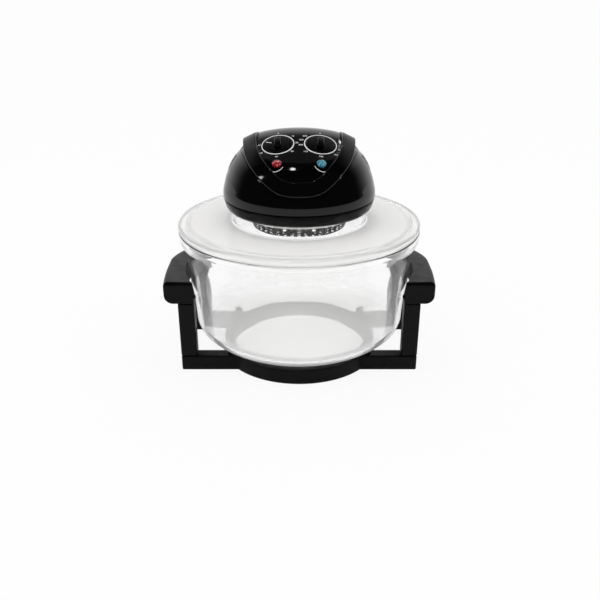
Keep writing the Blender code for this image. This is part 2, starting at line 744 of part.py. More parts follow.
def grip_outline():
    """The right grip seen from above: round the bowl inside, bowed outside, drawn in behind."""
    front_y = -BAR_MIDDLE_Y - BAR_DEPTH / 2
    rear_y = -front_y
    inner_radius = bowl_radius_at(GRIP_TOP_Z) + GRIP_BOWL_CLEARANCE
    outer = []
    count = 5
    for index in range(count + 1):
        share = index / count
        bow = 1 - (1 - share) ** 2
        outer.append((between(GRIP_OUT_FRONT, GRIP_OUT_MIDDLE, bow), front_y * (1 - share)))
    for index in range(1, count + 1):
        share = index / count
        y = between(0, rear_y, share)
        late = max(y - GRIP_REAR_BEND_Y, 0) / (rear_y - GRIP_REAR_BEND_Y)
        outer.append((between(GRIP_OUT_MIDDLE, GRIP_OUT_REAR, late ** 1.6), y))
    inner = []
    reach_deg = degrees(asin(rear_y / inner_radius))
    steps = 8
    for index in range(steps + 1):
        angle = radians(between(reach_deg, -reach_deg, index / steps))
        inner.append((inner_radius * cos(angle), inner_radius * sin(angle)))
    return outer + inner


def grips():
    outline = grip_outline()
    for name, side in (("grip_left", -1), ("grip_right", 1)):
        points = [(side * x, y) for x, y in outline]
        grip = plate(name, points, GRIP_BOTTOM_Z, GRIP_TOP_Z, SATIN_BLACK)
        round_grip(grip)
        holes = bmesh.new()
        bores = bmesh.new()
        bumpers = bmesh.new()
        for sy in (-1, 1):
            y = sy * BAR_MIDDLE_Y
            low_x, high_x = tenon_span(side)
            half_y = BAR_DEPTH / 2 - TENON_INSET + FIT_GAP
            top = GRIP_BOTTOM_Z + TENON_HEIGHT
            add_box(holes, (low_x - FIT_GAP, y - half_y, GRIP_BOTTOM_Z - OVERRUN),
                    (high_x + FIT_GAP, y + half_y, top))
            add_rod(bores, STAND_SCREW_RADIUS + FIT_GAP, GRIP_BOTTOM_Z,
                    top + STAND_SCREW_BITE + FIT_GAP,
                    Matrix.Translation((side * STAND_SCREW_X, y, 0)))
            add_rod(bumpers, BUMPER_RADIUS, bumper_reach(), BUMPER_RADIUS / 2,
                    bumper_place(side, sy), steps=8)
        cut(grip, from_bmesh(holes, name + "_sockets"), from_bmesh(bores, name + "_bores"))
        join(grip, from_bmesh(bumpers, name + "_bumpers"))


def round_grip(grip):
    """Round the grip's outer upper edge a little and its outer lower edge a lot."""
    shape = bmesh.new()
    shape.from_mesh(grip.data)
    inner_radius = bowl_radius_at(GRIP_TOP_Z) + GRIP_BOWL_CLEARANCE
    lower, upper = [], []
    for edge in shape.edges:
        a, b = (vertex.co for vertex in edge.verts)
        flat = abs(a.z - b.z) < MERGE
        inside = all(hypot(p.x, p.y) < inner_radius + FIT_GAP for p in (a, b))
        boundary = abs(edge.calc_face_angle(0)) > radians(45)
        if flat and boundary and not inside:
            (upper if a.z > (GRIP_BOTTOM_Z + GRIP_TOP_Z) / 2 else lower).append(edge)
    side = [e for e in lower if min(abs(v.co.x) for v in e.verts) > BAR_LENGTH / 2]
    bmesh.ops.bevel(shape, geom=side, offset=GRIP_ROUND_BOTTOM, segments=3, affect="EDGES",
                    profile=0.5, clamp_overlap=True)
    upper = [e for e in upper if e.is_valid]
    bmesh.ops.bevel(shape, geom=upper, offset=GRIP_ROUND_TOP, segments=2, affect="EDGES",
                    profile=0.5, clamp_overlap=True)
    shape.to_mesh(grip.data)
    shape.free()
    grip.data.shade_smooth()
    grip.data.set_sharp_from_angle(angle=radians(40))


def bumper_place(side, sy):
    """Where a bumper leaves the grip's inner face, with Z pointing outwards from the bowl."""
    inner_radius = bowl_radius_at(GRIP_TOP_Z) + GRIP_BOWL_CLEARANCE
    angle = asin(sy * BAR_MIDDLE_Y / inner_radius)
    direction = Vector((side * cos(angle), sin(angle), 0))
    start = direction * inner_radius + UP * (GRIP_BOTTOM_Z + BUMPER_RISE)
    return Matrix.Translation(start) @ direction.to_track_quat("Z", "Y").to_matrix().to_4x4()


def bumper_reach():
    """How far a bumper stands in towards the bowl, as a place on its own axis."""
    height = GRIP_BOTTOM_Z + BUMPER_RISE
    inner_radius = bowl_radius_at(GRIP_TOP_Z) + GRIP_BOWL_CLEARANCE
    return bowl_radius_at(height + BUMPER_RADIUS) + 2 * FIT_GAP - inner_radius


def stand_screws():
    """Long screws from under the bars, through the uprights and into the grips."""
    head_top = FRAME_BOTTOM_Z + STAND_SCREW_SINK - FIT_GAP
    tip = GRIP_BOTTOM_Z + TENON_HEIGHT + STAND_SCREW_BITE
    for corner, (sx, sy) in zip(CORNER_NAMES, CORNER_SIGNS):
        place = Matrix.Translation((sx * STAND_SCREW_X, sy * BAR_MIDDLE_Y, 0))
        screw("stand_screw_" + corner, place, head_top, tip, STAND_SCREW_RADIUS,
              STAND_SCREW_HEAD_RADIUS, -STAND_SCREW_HEAD_HEIGHT)


def screw(name, place, seat, tip, radius, head_radius, head_height, steps=8):
    """A screw: a shank from its seat to its tip, and a head on the seat's other side."""
    profile = [(0, tip), (radius, tip), (radius, seat), (head_radius, seat),
               (head_radius, seat + head_height), (0, seat + head_height)]
    if head_height > 0:
        profile.reverse()
    made = turned(name, profile, ZINC, steps, closed=False)
    made.matrix_world = place
    return made


# Bowl and lid glass

def glass_bowl():
    outer = bowl_outline()
    inner = offset_profile(outer, BOWL_GLASS)[:-1]
    inner[0] = (0, BOWL_BOTTOM_Z + BOWL_GLASS)
    edge = BOWL_GLASS / 3
    rim_inner = inner[-1][0]
    rim = [(rim_inner, BOWL_RIM_Z - edge), (rim_inner + edge, BOWL_RIM_Z),
           (BOWL_RIM_RADIUS - edge, BOWL_RIM_Z), (BOWL_RIM_RADIUS, BOWL_RIM_Z - edge)]
    profile = inner + rim + outer[::-1]
    return turned("glass_bowl", profile, BOWL_CLEAR, closed=False, smooth_deg=50)


def lid_glass():
    bead_top = LID_BOTTOM_Z + LID_BEAD_HEIGHT
    bead_inner = LID_RADIUS - LID_BEAD_WIDTH
    edge = LID_BEAD_HEIGHT / 4
    neck_inner = LID_NECK_RADIUS - LID_GLASS
    skirt_bottom = LID_BOTTOM_Z - LID_SKIRT_DROP
    skirt_inner = LID_SKIRT_RADIUS - LID_GLASS
    under = LID_TOP_Z - LID_GLASS
    curl = LID_NECK_ROUND
    profile = [
        (LID_FLANGE_RADIUS, LID_NECK_TOP_Z),
        (LID_NECK_RADIUS - curl / 2, LID_NECK_TOP_Z),
        (LID_NECK_RADIUS, LID_NECK_TOP_Z - curl / 2),
        (LID_NECK_RADIUS, LID_TOP_Z + curl),
        (LID_NECK_RADIUS + curl / 3, LID_TOP_Z + curl / 3),
        (LID_NECK_RADIUS + curl, LID_TOP_Z),
        (bead_inner - edge, LID_TOP_Z + edge / 4),
        (bead_inner, LID_TOP_Z - edge / 2),
        (bead_inner + edge, bead_top - edge / 4),
        (LID_RADIUS - 2 * edge, bead_top),
        (LID_RADIUS - edge / 2, bead_top - edge / 2),
        (LID_RADIUS, bead_top - 2 * edge),
        (LID_RADIUS, LID_BOTTOM_Z + edge / 2),
        (LID_RADIUS - edge / 2, LID_BOTTOM_Z),
        (LID_SKIRT_RADIUS, LID_BOTTOM_Z),
        (LID_SKIRT_RADIUS - edge / 2, skirt_bottom),
        (skirt_inner, skirt_bottom),
        (skirt_inner - edge, under),
        (LID_NECK_RADIUS + curl, under),
        (neck_inner, under + curl),
        (neck_inner, LID_NECK_TOP_Z - LID_GLASS),
        (LID_FLANGE_RADIUS, LID_NECK_TOP_Z - LID_GLASS),
    ]
    return turned("lid_glass", profile, LID_CLEAR, smooth_deg=50)


def lid_gasket():
    low = LID_NECK_TOP_Z + FIT_GAP
    return ring("lid_gasket", LID_FLANGE_RADIUS + FIT_GAP,
                LID_FLANGE_RADIUS + GASKET_WIDTH, low, low + GASKET_HEIGHT, SILICONE,
                INNER_STEPS)


# Head housings

def lower_housing():
    skirt_inner = HEAD_SKIRT_RADIUS - HEAD_SKIRT_WALL
    spigot_inner = SPIGOT_RADIUS - LOWER_WALL
    waist = between(HEAD_SKIRT_RADIUS, LOWER_TOP_RADIUS, 0.62)
    waist_z = between(HEAD_SKIRT_Z, LOWER_TOP_Z, 0.28)
    profile = [
        (spigot_inner, DOME_BASE_Z + SPIGOT_HEIGHT),
        (SPIGOT_RADIUS, DOME_BASE_Z + SPIGOT_HEIGHT),
        (SPIGOT_RADIUS, LOWER_TOP_Z),
        (LOWER_TOP_RADIUS, LOWER_TOP_Z),
        (waist, waist_z),
        (HEAD_SKIRT_RADIUS, HEAD_SKIRT_Z),
        (skirt_inner, HEAD_SKIRT_Z),
        (skirt_inner, LOWER_FLOOR_Z),
        (LOWER_HOLE_RADIUS, LOWER_FLOOR_Z),
        (LOWER_HOLE_RADIUS, FLOOR_TOP_Z),
        (spigot_inner, FLOOR_TOP_Z),
    ]
    housing = turned("lower_housing", profile, GLOSS_BLACK)
    holes = bmesh.new()
    for angle in POST_ANGLES_DEG:
        add_rod(holes, HOUSING_SCREW_RADIUS + FIT_GAP, LOWER_FLOOR_Z - OVERRUN,
                FLOOR_TOP_Z + OVERRUN, around_z(angle, POST_CIRCLE_RADIUS), steps=8)
    for side in (-1, 1):
        add_rod(holes, STUD_THREAD_RADIUS + FIT_GAP, LOWER_FLOOR_Z - OVERRUN,
                FLOOR_TOP_Z + OVERRUN, Matrix.Translation((side * HEATER_STUD_X, 0, 0)), steps=8)
    add_rod(holes, CAPILLARY_HOLE_RADIUS, LOWER_FLOOR_Z - OVERRUN, FLOOR_TOP_Z + OVERRUN,
            capillary_place(), steps=8)
    for side in (-1, 1):
        add_rod(holes, MOTOR_SCREW_RADIUS + FIT_GAP, LOWER_FLOOR_Z - OVERRUN,
                FLOOR_TOP_Z + OVERRUN, motor_screw_place(side), steps=8)
    return cut(housing, from_bmesh(holes, "floor_holes"))


def head_shell(name, finish=None):
    """The whole upper shell of the head before the seam divides it."""
    outer = dome_outline()
    inner = inner_dome_outline(SHELL_WALL)
    inner = inner[:6] + inner[6:-1:2] + inner[-1:]
    profile = outer + inner[::-1]
    shell = turned(name, profile, finish, closed=False,
                   inner=range(len(outer), len(profile)))
    press_to_face(shell, SHELL_WALL)
    return shell


def inner_dome_outline(depth):
    """The dome's outline moved inwards by a depth, from its apex down to its base."""
    inner = offset_profile(dome_outline(), -depth)
    inner[0] = (0, DOME_APEX_Z - depth)
    inner[-1] = (DOME_RADIUS - depth, DOME_BASE_Z)
    return inner


def head_solid(name, depth):
    """The whole head as one solid, its surface moved inwards by a depth or out by a negative."""
    outline = inner_dome_outline(depth) + [(0, DOME_BASE_Z)]
    solid = turned(name, outline, closed=False, inner=range(len(outline)))
    press_to_face(solid, depth)
    return solid


def above_seam(name, raise_by):
    """A block whose underside is the seam, moved up by a little."""
    reach = DOME_RADIUS + OVERRUN
    outline = []
    for step in range(SEAM_STEPS + 1):
        y = between(-reach, 0, step / SEAM_STEPS)
        outline.append((y, seam_height(y) + raise_by))
    outline.append((reach, seam_height(reach) + raise_by))
    outline.append((reach, DOME_APEX_Z + OVERRUN))
    outline.append((-reach, DOME_APEX_Z + OVERRUN))
    upright = Matrix(((0, 0, 1, 0), (1, 0, 0, 0), (0, 1, 0, 0), (0, 0, 0, 1)))
    return plate(name, outline, -reach, reach, place=upright)


def dome_housing():
    dome = head_shell("dome_housing", GLOSS_BLACK)
    slots = bmesh.new()
    for index in range(VENT_COUNT):
        y = VENT_FIRST_Y + index * VENT_PITCH
        for side in (-1, 1):
            near, far = sorted((side * STATOR_HALF_WIDTH, side * (DOME_RADIUS + OVERRUN)))
            add_box(slots, (near, y - VENT_WIDTH / 2, VENT_BOTTOM_Z),
                    (far, y + VENT_WIDTH / 2, VENT_TOP_Z))
    half = INLET_WIDTH / 2 + FIT_GAP
    add_box(slots, (-half, DOME_RADIUS - INLET_DEPTH, INLET_BOTTOM_Z - FIT_GAP),
            (half, DOME_RADIUS + OVERRUN, INLET_BOTTOM_Z + INLET_HEIGHT + FIT_GAP))
    cut(dome, above_seam("dome_seam", -SEAM_GAP / 2), from_bmesh(slots, "dome_slots"))
    rooms = bmesh.new()
    place = Matrix.Translation((0, 0, PIVOT_Z)) @ ALONG_X
    reach = PIVOT_X + EYE_HALF + 2 * RUN_GAP
    add_rod(rooms, HUB_RADIUS + FIT_GAP, -reach, reach, place, steps=28)
    for angle in POST_ANGLES_DEG:
        add_rod(rooms, POST_RADIUS + FIT_GAP, FLOOR_TOP_Z, SEAM_SHOULDER_Z,
                around_z(angle, POST_CIRCLE_RADIUS))
    return cut(dome, from_bmesh(rooms, "hub_room"))


def control_cap():
    cap = head_shell("control_cap", GLOSS_BLACK)
    combine(cap, above_seam("cap_seam", SEAM_GAP / 2), "INTERSECT")
    bosses = bmesh.new()
    inner_x = PIVOT_X - EYE_HALF - RUN_GAP - POCKET_BACK
    outer_x = PIVOT_X + EYE_HALF + RUN_GAP
    for side in (-1, 1):
        place = Matrix.Translation((0, 0, PIVOT_Z)) @ ALONG_X
        low, high = sorted((side * inner_x, side * outer_x))
        add_rod(bosses, HUB_RADIUS, low, high, place, steps=28)
    for angle in POST_ANGLES_DEG:
        add_rod(bosses, POST_RADIUS, FLOOR_TOP_Z + FIT_GAP, DOME_APEX_Z,
                around_z(angle, POST_CIRCLE_RADIUS))
    boss = combine(from_bmesh(bosses, "cap_bosses"), head_solid("boss_room", SHELL_WALL / 2),
                   "INTERSECT")
    join(cap, boss)
    pockets = bmesh.new()
    bores = bmesh.new()
    for side in (-1, 1):
        place = Matrix.Translation((0, 0, PIVOT_Z)) @ ALONG_X
        low, high = sorted((side * (PIVOT_X - EYE_HALF - RUN_GAP), side * (DOME_RADIUS)))
        add_rod(pockets, POCKET_RADIUS, low, high, place, steps=28)
        low, high = sorted((side * (inner_x + PIN_RADIUS / 2), side * PIVOT_X))
        add_rod(bores, PIN_RADIUS + FIT_GAP / 3, low, high, place, steps=ROD_STEPS)
        dial = face_place(side * DIAL_X, DIAL_Y)
        add_rod(pockets, DIAL_RADIUS + FIT_GAP, -DIAL_SINK, OVERRUN, dial, steps=DIAL_STEPS)
        add_rod(bores, SPINDLE_RADIUS + RUN_GAP, -CONTROL_DROP, OVERRUN, dial)
        lamp = face_place(side * LAMP_X, LAMP_Y)
        add_rod(pockets, LENS_STEM_RADIUS + FIT_GAP, -LENS_STEM, OVERRUN, lamp, steps=12)
    for angle in POST_ANGLES_DEG:
        add_rod(bores, HOUSING_SCREW_RADIUS + FIT_GAP, FLOOR_TOP_Z - OVERRUN,
                FLOOR_TOP_Z + HOUSING_SCREW_BITE, around_z(angle, POST_CIRCLE_RADIUS), steps=8)
    add_rod(bores, PLUNGER_RADIUS + RUN_GAP / 2, SEAM_SHOULDER_Z, DOME_APEX_Z,
            Matrix.Translation((PLUNGER_X, PLUNGER_Y, 0)))
    return cut(cap, from_bmesh(pockets, "cap_pockets"), from_bmesh(bores, "cap_bores"))


def housing_screws():
    for index, angle in enumerate(POST_ANGLES_DEG):
        screw(f"housing_screw_{index + 1}", around_z(angle, POST_CIRCLE_RADIUS),
              LOWER_FLOOR_Z - FIT_GAP, FLOOR_TOP_Z + HOUSING_SCREW_BITE - FIT_GAP,
              HOUSING_SCREW_RADIUS, HOUSING_SCREW_HEAD_RADIUS, -HOUSING_SCREW_HEAD_HEIGHT)


# Carry handle

def strap_shares():
    """Places along the strap, closer together near its two ends."""
    steps = STRAP_STATIONS - 1
    shares = [i / steps for i in range(STRAP_STATIONS)]
    for near in STRAP_END_SHARES:
        shares += [near / steps, 1 - near / steps]
    return sorted(shares)


def strap_place(share):
    """A station of the strap: its place on the head and the direction out of the head."""
    angle = pi * share
    power = 2 / STRAP_POWER_SHARE
    x = PIVOT_X * abs(cos(angle)) ** power * (1 if cos(angle) > 0 else -1)
    y = -STRAP_FRONT_Y * abs(sin(angle)) ** power
    out = head_normal(x, y)
    sink = HUB_SINK * max(1 + y / HUB_SINK_REACH, 0) ** 2
    return Vector((x, y, head_height(x, y))) - out * sink, out


def carry_handle():
    """A strap lofted along the head's front from eye to eye, its section following the dome."""
    half = STRAP_WIDTH / 2
    low = STRAP_STANDOFF
    high = STRAP_STANDOFF + STRAP_THICKNESS
    section = [(-half, low), (half, low), (half, high - STRAP_EDGE), (half - STRAP_EDGE, high),
               (-half + STRAP_EDGE, high), (-half, high - STRAP_EDGE)]
    places = [strap_place(share) for share in strap_shares()]
    shape = bmesh.new()
    rings = []
    for index, (point, out) in enumerate(places):
        before = places[max(index - 1, 0)][0]
        after = places[min(index + 1, len(places) - 1)][0]
        along = (after - before).normalized()
        if index in (0, len(places) - 1):
            along = Vector((0, -1 if index == 0 else 1, 0))
        side = along.cross(out).normalized()
        lift = side.cross(along).normalized()
        rings.append([shape.verts.new(point + side * a + lift * b) for a, b in section])
    for near, far in zip(rings, rings[1:]):
        for i in range(len(section)):
            j = (i + 1) % len(section)
            shape.faces.new((near[i], near[j], far[j], far[i]))
    shape.faces.new(rings[0])
    shape.faces.new(rings[-1][::-1])
    strap = from_bmesh(shape, "carry_handle", GLOSS_BLACK, smooth_deg=40)
    eyes = bmesh.new()
    bores = bmesh.new()
    for side in (-1, 1):
        place = Matrix.Translation((side * PIVOT_X, 0, PIVOT_Z)) @ ALONG_X
        add_rod(eyes, EYE_RADIUS, -EYE_HALF, EYE_HALF, place, steps=28)
        add_rod(bores, PIN_RADIUS + RUN_GAP, -EYE_HALF - OVERRUN, PIN_BITE - EYE_HALF + FIT_GAP,
                place if side > 0 else place @ Matrix.Rotation(pi, 4, "X"))
    eye_pair = combine(from_bmesh(eyes, "handle_eyes"), head_solid("eye_room", -HUB_RISE),
                       "INTERSECT")
    cut(join(strap, eye_pair), from_bmesh(bores, "eye_bores"))
    return put_origin(strap, Vector((0, 0, PIVOT_Z)))


def put_origin(thing, place):
    """Put an object's origin at a place, such as its joint, and leave its shape where it is."""
    settle(thing)
    thing.data.transform(Matrix.Translation(-place))
    thing.location = place
    return thing


def pivot_pins():
    inner_x = PIVOT_X - EYE_HALF - RUN_GAP - POCKET_BACK + PIN_RADIUS / 2 + FIT_GAP
    outer_x = PIVOT_X - EYE_HALF + PIN_BITE
    for word, side in SIDES:
        place = Matrix.Translation((0, 0, PIVOT_Z)) @ ALONG_X
        low, high = sorted((side * inner_x, side * outer_x))
        rod("pivot_pin_" + word, PIN_RADIUS, low, high, STEEL, place)


# Controls and lamps

def dial_rings():
    for name, side in (("timer_dial_ring", -1), ("thermostat_dial_ring", 1)):
        low = -DIAL_SINK + FIT_GAP
        made = ring(name, DIAL_RADIUS - DIAL_BAND, DIAL_RADIUS, low, low + DIAL_THICKNESS,
                    WHITE_PLASTIC, steps=DIAL_STEPS)
        made.matrix_world = face_place(side * DIAL_X, DIAL_Y)


def knobs():
    low = -DIAL_SINK + RUN_GAP
    top = KNOB_HEIGHT
    for name, side in (("timer_knob", -1), ("thermostat_knob", 1)):
        place = face_place(side * DIAL_X, DIAL_Y)
        disc = [(0, top), (KNOB_RADIUS - 2 * KNOB_ROUND, top), (KNOB_RADIUS - KNOB_ROUND / 2,
                top - KNOB_ROUND / 2), (KNOB_RADIUS, top - 2 * KNOB_ROUND), (KNOB_RADIUS, low),
                (0, low)]
        knob = turned(name, disc, GLOSS_BLACK, steps=DIAL_STEPS, closed=False)
        bar = box(name + "_bar", (-KNOB_BAR_WIDTH / 2, -KNOB_BAR_LENGTH / 2, top / 2),
                  (KNOB_BAR_WIDTH / 2, KNOB_BAR_LENGTH / 2, top + KNOB_BAR_HEIGHT),
                  rounding=KNOB_BAR_ROUND)
        bore = rod(name + "_bore", SPINDLE_RADIUS + FIT_GAP, low - OVERRUN,
                   top + SPINDLE_GRIP + FIT_GAP)
        for piece in (knob, bar, bore):
            piece.matrix_world = place
        cut(join(knob, bar), bore)
        spindle = rod(name.replace("knob", "spindle"), SPINDLE_RADIUS,
                      -CONTROL_DROP - BUSHING_RADIUS, top + SPINDLE_GRIP, STEEL)
        spindle.matrix_world = place


def controls():
    """Timer and thermostat bodies, each with a threaded neck up to the cap."""
    for name, side, finish in (("timer_body", -1, ZINC), ("thermostat_body", 1, BROWN_RESIN)):
        place = face_place(side * DIAL_X, DIAL_Y)
        body = box(name, (-CONTROL_WIDTH / 2, -CONTROL_DEPTH / 2, -CONTROL_DROP - CONTROL_HEIGHT),
                   (CONTROL_WIDTH / 2, CONTROL_DEPTH / 2, -CONTROL_DROP), finish)
        neck = rod(name + "_neck", BUSHING_RADIUS, -CONTROL_DROP - BUSHING_RADIUS,
                   -SHELL_WALL - 2 * FIT_GAP)
        bore = rod(name + "_bore", SPINDLE_RADIUS + FIT_GAP,
                   -CONTROL_DROP - BUSHING_RADIUS - RUN_GAP, OVERRUN)
        for piece in (body, neck, bore):
            piece.matrix_world = place
        cut(join(body, neck), bore)


def lamps():
    for name, side, finish in (("power_lamp_lens", -1, RED_LENS), ("heat_lamp_lens", 1, TEAL_LENS)):
        place = face_place(side * LAMP_X, LAMP_Y)
        low = 2 * FIT_GAP
        profile = [(0, low + LENS_DOME), (LENS_RADIUS * 0.45, low + LENS_DOME * 0.90),
                   (LENS_RADIUS * 0.83, low + LENS_DOME * 0.55), (LENS_RADIUS, low + FIT_GAP),
                   (LENS_RADIUS, low), (LENS_STEM_RADIUS, low), (LENS_STEM_RADIUS, -LENS_STEM),
                   (0, -LENS_STEM)]
        lens = turned(name, profile, finish, steps=12, closed=False)
        lens.matrix_world = place


def switch_top():
    return PIVOT_Z - HUB_RADIUS - FIT_GAP


def safety_switch():
    """The switch under the right hub that cuts the power when the handle is lifted."""
    top = switch_top()
    rear = PLUNGER_Y + SWITCH_LENGTH - PLUNGER_RADIUS * 3
    return box("safety_switch",
               (PLUNGER_X - SWITCH_WIDTH / 2, rear - SWITCH_LENGTH, top - SWITCH_HEIGHT),
               (PLUNGER_X + SWITCH_WIDTH / 2, rear, top), BROWN_RESIN)


def switch_plunger():
    top = head_height(PLUNGER_X, PLUNGER_Y) - FIT_GAP
    pin = rod("switch_plunger", PLUNGER_RADIUS, switch_top() + FIT_GAP, top, WHITE_PLASTIC)
    pin.location = (PLUNGER_X, PLUNGER_Y, 0)
    return pin


# Electrical pieces on the housing floor and back

def power_inlet():
    """The inlet at the back: a shrouded socket with three blades moulded in."""
    half = INLET_WIDTH / 2
    face_y = DOME_RADIUS + INLET_PROUD
    top = INLET_BOTTOM_Z + INLET_HEIGHT
    back_y = face_y - INLET_DEPTH
    body = box("power_inlet", (-half, back_y, INLET_BOTTOM_Z), (half, face_y, top), SATIN_BLACK)
    socket = box("inlet_socket", (-half + INLET_WALL, back_y + INLET_BASE,
                                  INLET_BOTTOM_Z + INLET_WALL),
                 (half - INLET_WALL, face_y + OVERRUN, top - INLET_WALL))
    pins = bmesh.new()
    middle = INLET_BOTTOM_Z + INLET_HEIGHT / 2
    for index in (-1, 0, 1):
        x = index * INLET_PIN_PITCH
        z = middle - abs(index) * INLET_PIN_WIDTH / 2 + INLET_PIN_WIDTH / 4
        start = back_y - INLET_PIN_WIDTH
        end = back_y + INLET_BASE + INLET_PIN_LENGTH
        add_box(pins, (x - INLET_PIN_THICKNESS / 2, start, z - INLET_PIN_WIDTH / 2),
                (x + INLET_PIN_THICKNESS / 2, end, z + INLET_PIN_WIDTH / 2))
    return join(cut(body, socket), from_bmesh(pins, "inlet_pins"))


def floor_pieces():
    low = FLOOR_TOP_Z + FIT_GAP
    box("terminal_block", (BLOCK_X - BLOCK_WIDTH / 2, BLOCK_Y - BLOCK_LENGTH / 2, low),
        (BLOCK_X + BLOCK_WIDTH / 2, BLOCK_Y + BLOCK_LENGTH / 2, low + BLOCK_HEIGHT), CERAMIC)
    rod("thermal_cutout", CUTOUT_RADIUS, low, low + CUTOUT_HEIGHT, ALUMINIUM,
        Matrix.Translation((CUTOUT_X, CUTOUT_Y, 0)))


# Heater

def capillary_place():
    return Matrix.Translation((CAPILLARY_X, BULB_Y + BULB_RADIUS * 2, 0))


def reflector():
    sheet = REFLECTOR_SHEET
    top = REFLECTOR_Z + sheet
    profile = [
        (SHAFT_HOLE_RADIUS, top),
        (REFLECTOR_FLAT_RADIUS, top),
        (LID_FLANGE_RADIUS + sheet, REFLECTOR_RIM_Z),
        (REFLECTOR_RIM_RADIUS, REFLECTOR_RIM_Z),
        (REFLECTOR_RIM_RADIUS, REFLECTOR_RIM_Z - sheet),
        (LID_FLANGE_RADIUS + 2 * sheet, REFLECTOR_RIM_Z - sheet),
        (REFLECTOR_FLAT_RADIUS + sheet, REFLECTOR_Z),
        (SHAFT_HOLE_RADIUS, REFLECTOR_Z),
    ]
    made = turned("reflector", profile, STEEL, steps=INNER_STEPS)
    holes = bmesh.new()
    for side in (-1, 1):
        add_rod(holes, STUD_THREAD_RADIUS + FIT_GAP, REFLECTOR_Z - OVERRUN, top + OVERRUN,
                Matrix.Translation((side * HEATER_STUD_X, 0, 0)), steps=8)
    add_rod(holes, CAPILLARY_HOLE_RADIUS, REFLECTOR_Z - OVERRUN, top + OVERRUN,
            capillary_place(), steps=8)
    return cut(made, from_bmesh(holes, "reflector_holes"))


def heater_studs():
    """Studs that hang the reflector and the guard from the housing floor."""
    top = FLOOR_TOP_Z
    neck_top = LOWER_FLOOR_Z - FIT_GAP
    shoulder_top = SHIELD_Z - FIT_GAP
    shoulder_low = REFLECTOR_Z + REFLECTOR_SHEET + FIT_GAP
    head_top = REFLECTOR_Z - GUARD_SHEET - 2 * FIT_GAP
    head_low = head_top - STUD_HEAD_HEIGHT
    profile = [(0, top), (STUD_THREAD_RADIUS, top), (STUD_THREAD_RADIUS, neck_top),
               (STUD_NECK_RADIUS, neck_top), (STUD_NECK_RADIUS, shoulder_top),
               (STUD_SHOULDER_RADIUS, shoulder_top), (STUD_SHOULDER_RADIUS, shoulder_low),
               (STUD_THREAD_RADIUS, shoulder_low), (STUD_THREAD_RADIUS, head_top),
               (STUD_HEAD_RADIUS, head_top), (STUD_HEAD_RADIUS, head_low), (0, head_low)]
    for word, side in SIDES:
        stud = turned("heater_stud_" + word, profile, ZINC, ROD_STEPS, closed=False)
        stud.matrix_world = Matrix.Translation((side * HEATER_STUD_X, 0, 0))


def heat_shield():
    made = ring("heat_shield", SHAFT_HOLE_RADIUS, SHIELD_RADIUS, SHIELD_Z,
                SHIELD_Z + SHIELD_SHEET, ALUMINIUM, INNER_STEPS)
    holes = bmesh.new()
    for side in (-1, 1):
        add_rod(holes, STUD_NECK_RADIUS + FIT_GAP, SHIELD_Z - OVERRUN, SHIELD_Z + OVERRUN,
                Matrix.Translation((side * HEATER_STUD_X, 0, 0)))
    add_rod(holes, CAPILLARY_HOLE_RADIUS, SHIELD_Z - OVERRUN, SHIELD_Z + OVERRUN,
            capillary_place(), steps=8)
    return cut(made, from_bmesh(holes, "shield_holes"))


def heater_guard():
    """A steel basket under the reflector, slotted round its side and in its floor."""
    top = REFLECTOR_Z - FIT_GAP
    sheet = GUARD_SHEET
    flange = GUARD_RADIUS + GUARD_FLANGE_WIDTH
    profile = [
        (GUARD_RADIUS - sheet, top), (flange, top), (flange, top - sheet),
        (GUARD_RADIUS, top - sheet), (GUARD_RADIUS, GUARD_BOTTOM_Z), (0, GUARD_BOTTOM_Z),
        (0, GUARD_BOTTOM_Z + sheet), (GUARD_RADIUS - sheet, GUARD_BOTTOM_Z + sheet),
    ]
    guard = turned("heater_guard", profile, STEEL, steps=GUARD_SLOT_COUNT)
    slots = bmesh.new()
    for index in range(GUARD_SLOT_COUNT):
        verts = add_box(slots, (GUARD_RADIUS - 3 * sheet, -GUARD_SLOT_WIDTH / 2,
                                GUARD_BOTTOM_Z + GUARD_SLOT_MARGIN),
                        (GUARD_RADIUS + 2 * sheet, GUARD_SLOT_WIDTH / 2,
                         top - GUARD_SLOT_MARGIN))
        turn = around_z(360 * (index + 0.5) / GUARD_SLOT_COUNT)
        bmesh.ops.transform(slots, matrix=turn, verts=verts)
    for index in range(GUARD_RIB_COUNT):
        verts = add_box(slots, (GUARD_RIB_INNER_RADIUS, -GUARD_RIB_SLOT_WIDTH / 2,
                                GUARD_BOTTOM_Z - OVERRUN),
                        (GUARD_RIB_OUTER_RADIUS, GUARD_RIB_SLOT_WIDTH / 2,
                         GUARD_BOTTOM_Z + GUARD_SLOT_MARGIN - FIT_GAP))
        turn = around_z(360 * index / GUARD_RIB_COUNT)
        bmesh.ops.transform(slots, matrix=turn, verts=verts)
    for side in (-1, 1):
        add_rod(slots, STUD_THREAD_RADIUS + FIT_GAP, top - OVERRUN, top + OVERRUN,
                Matrix.Translation((side * HEATER_STUD_X, 0, 0)), steps=8)
    return cut(guard, from_bmesh(slots, "guard_slots"))


def tube_point(angle_deg, radius=TUBE_RING_RADIUS):
    angle = radians(angle_deg)
    return Vector((radius * cos(angle), radius * sin(angle), TUBE_Z))


def tube_route():
    start = 90 + TUBE_GAP_DEG / 2
    end = 450 - TUBE_GAP_DEG / 2
    return [tube_point(between(start, end, i / TUBE_STEPS)) for i in range(TUBE_STEPS + 1)]


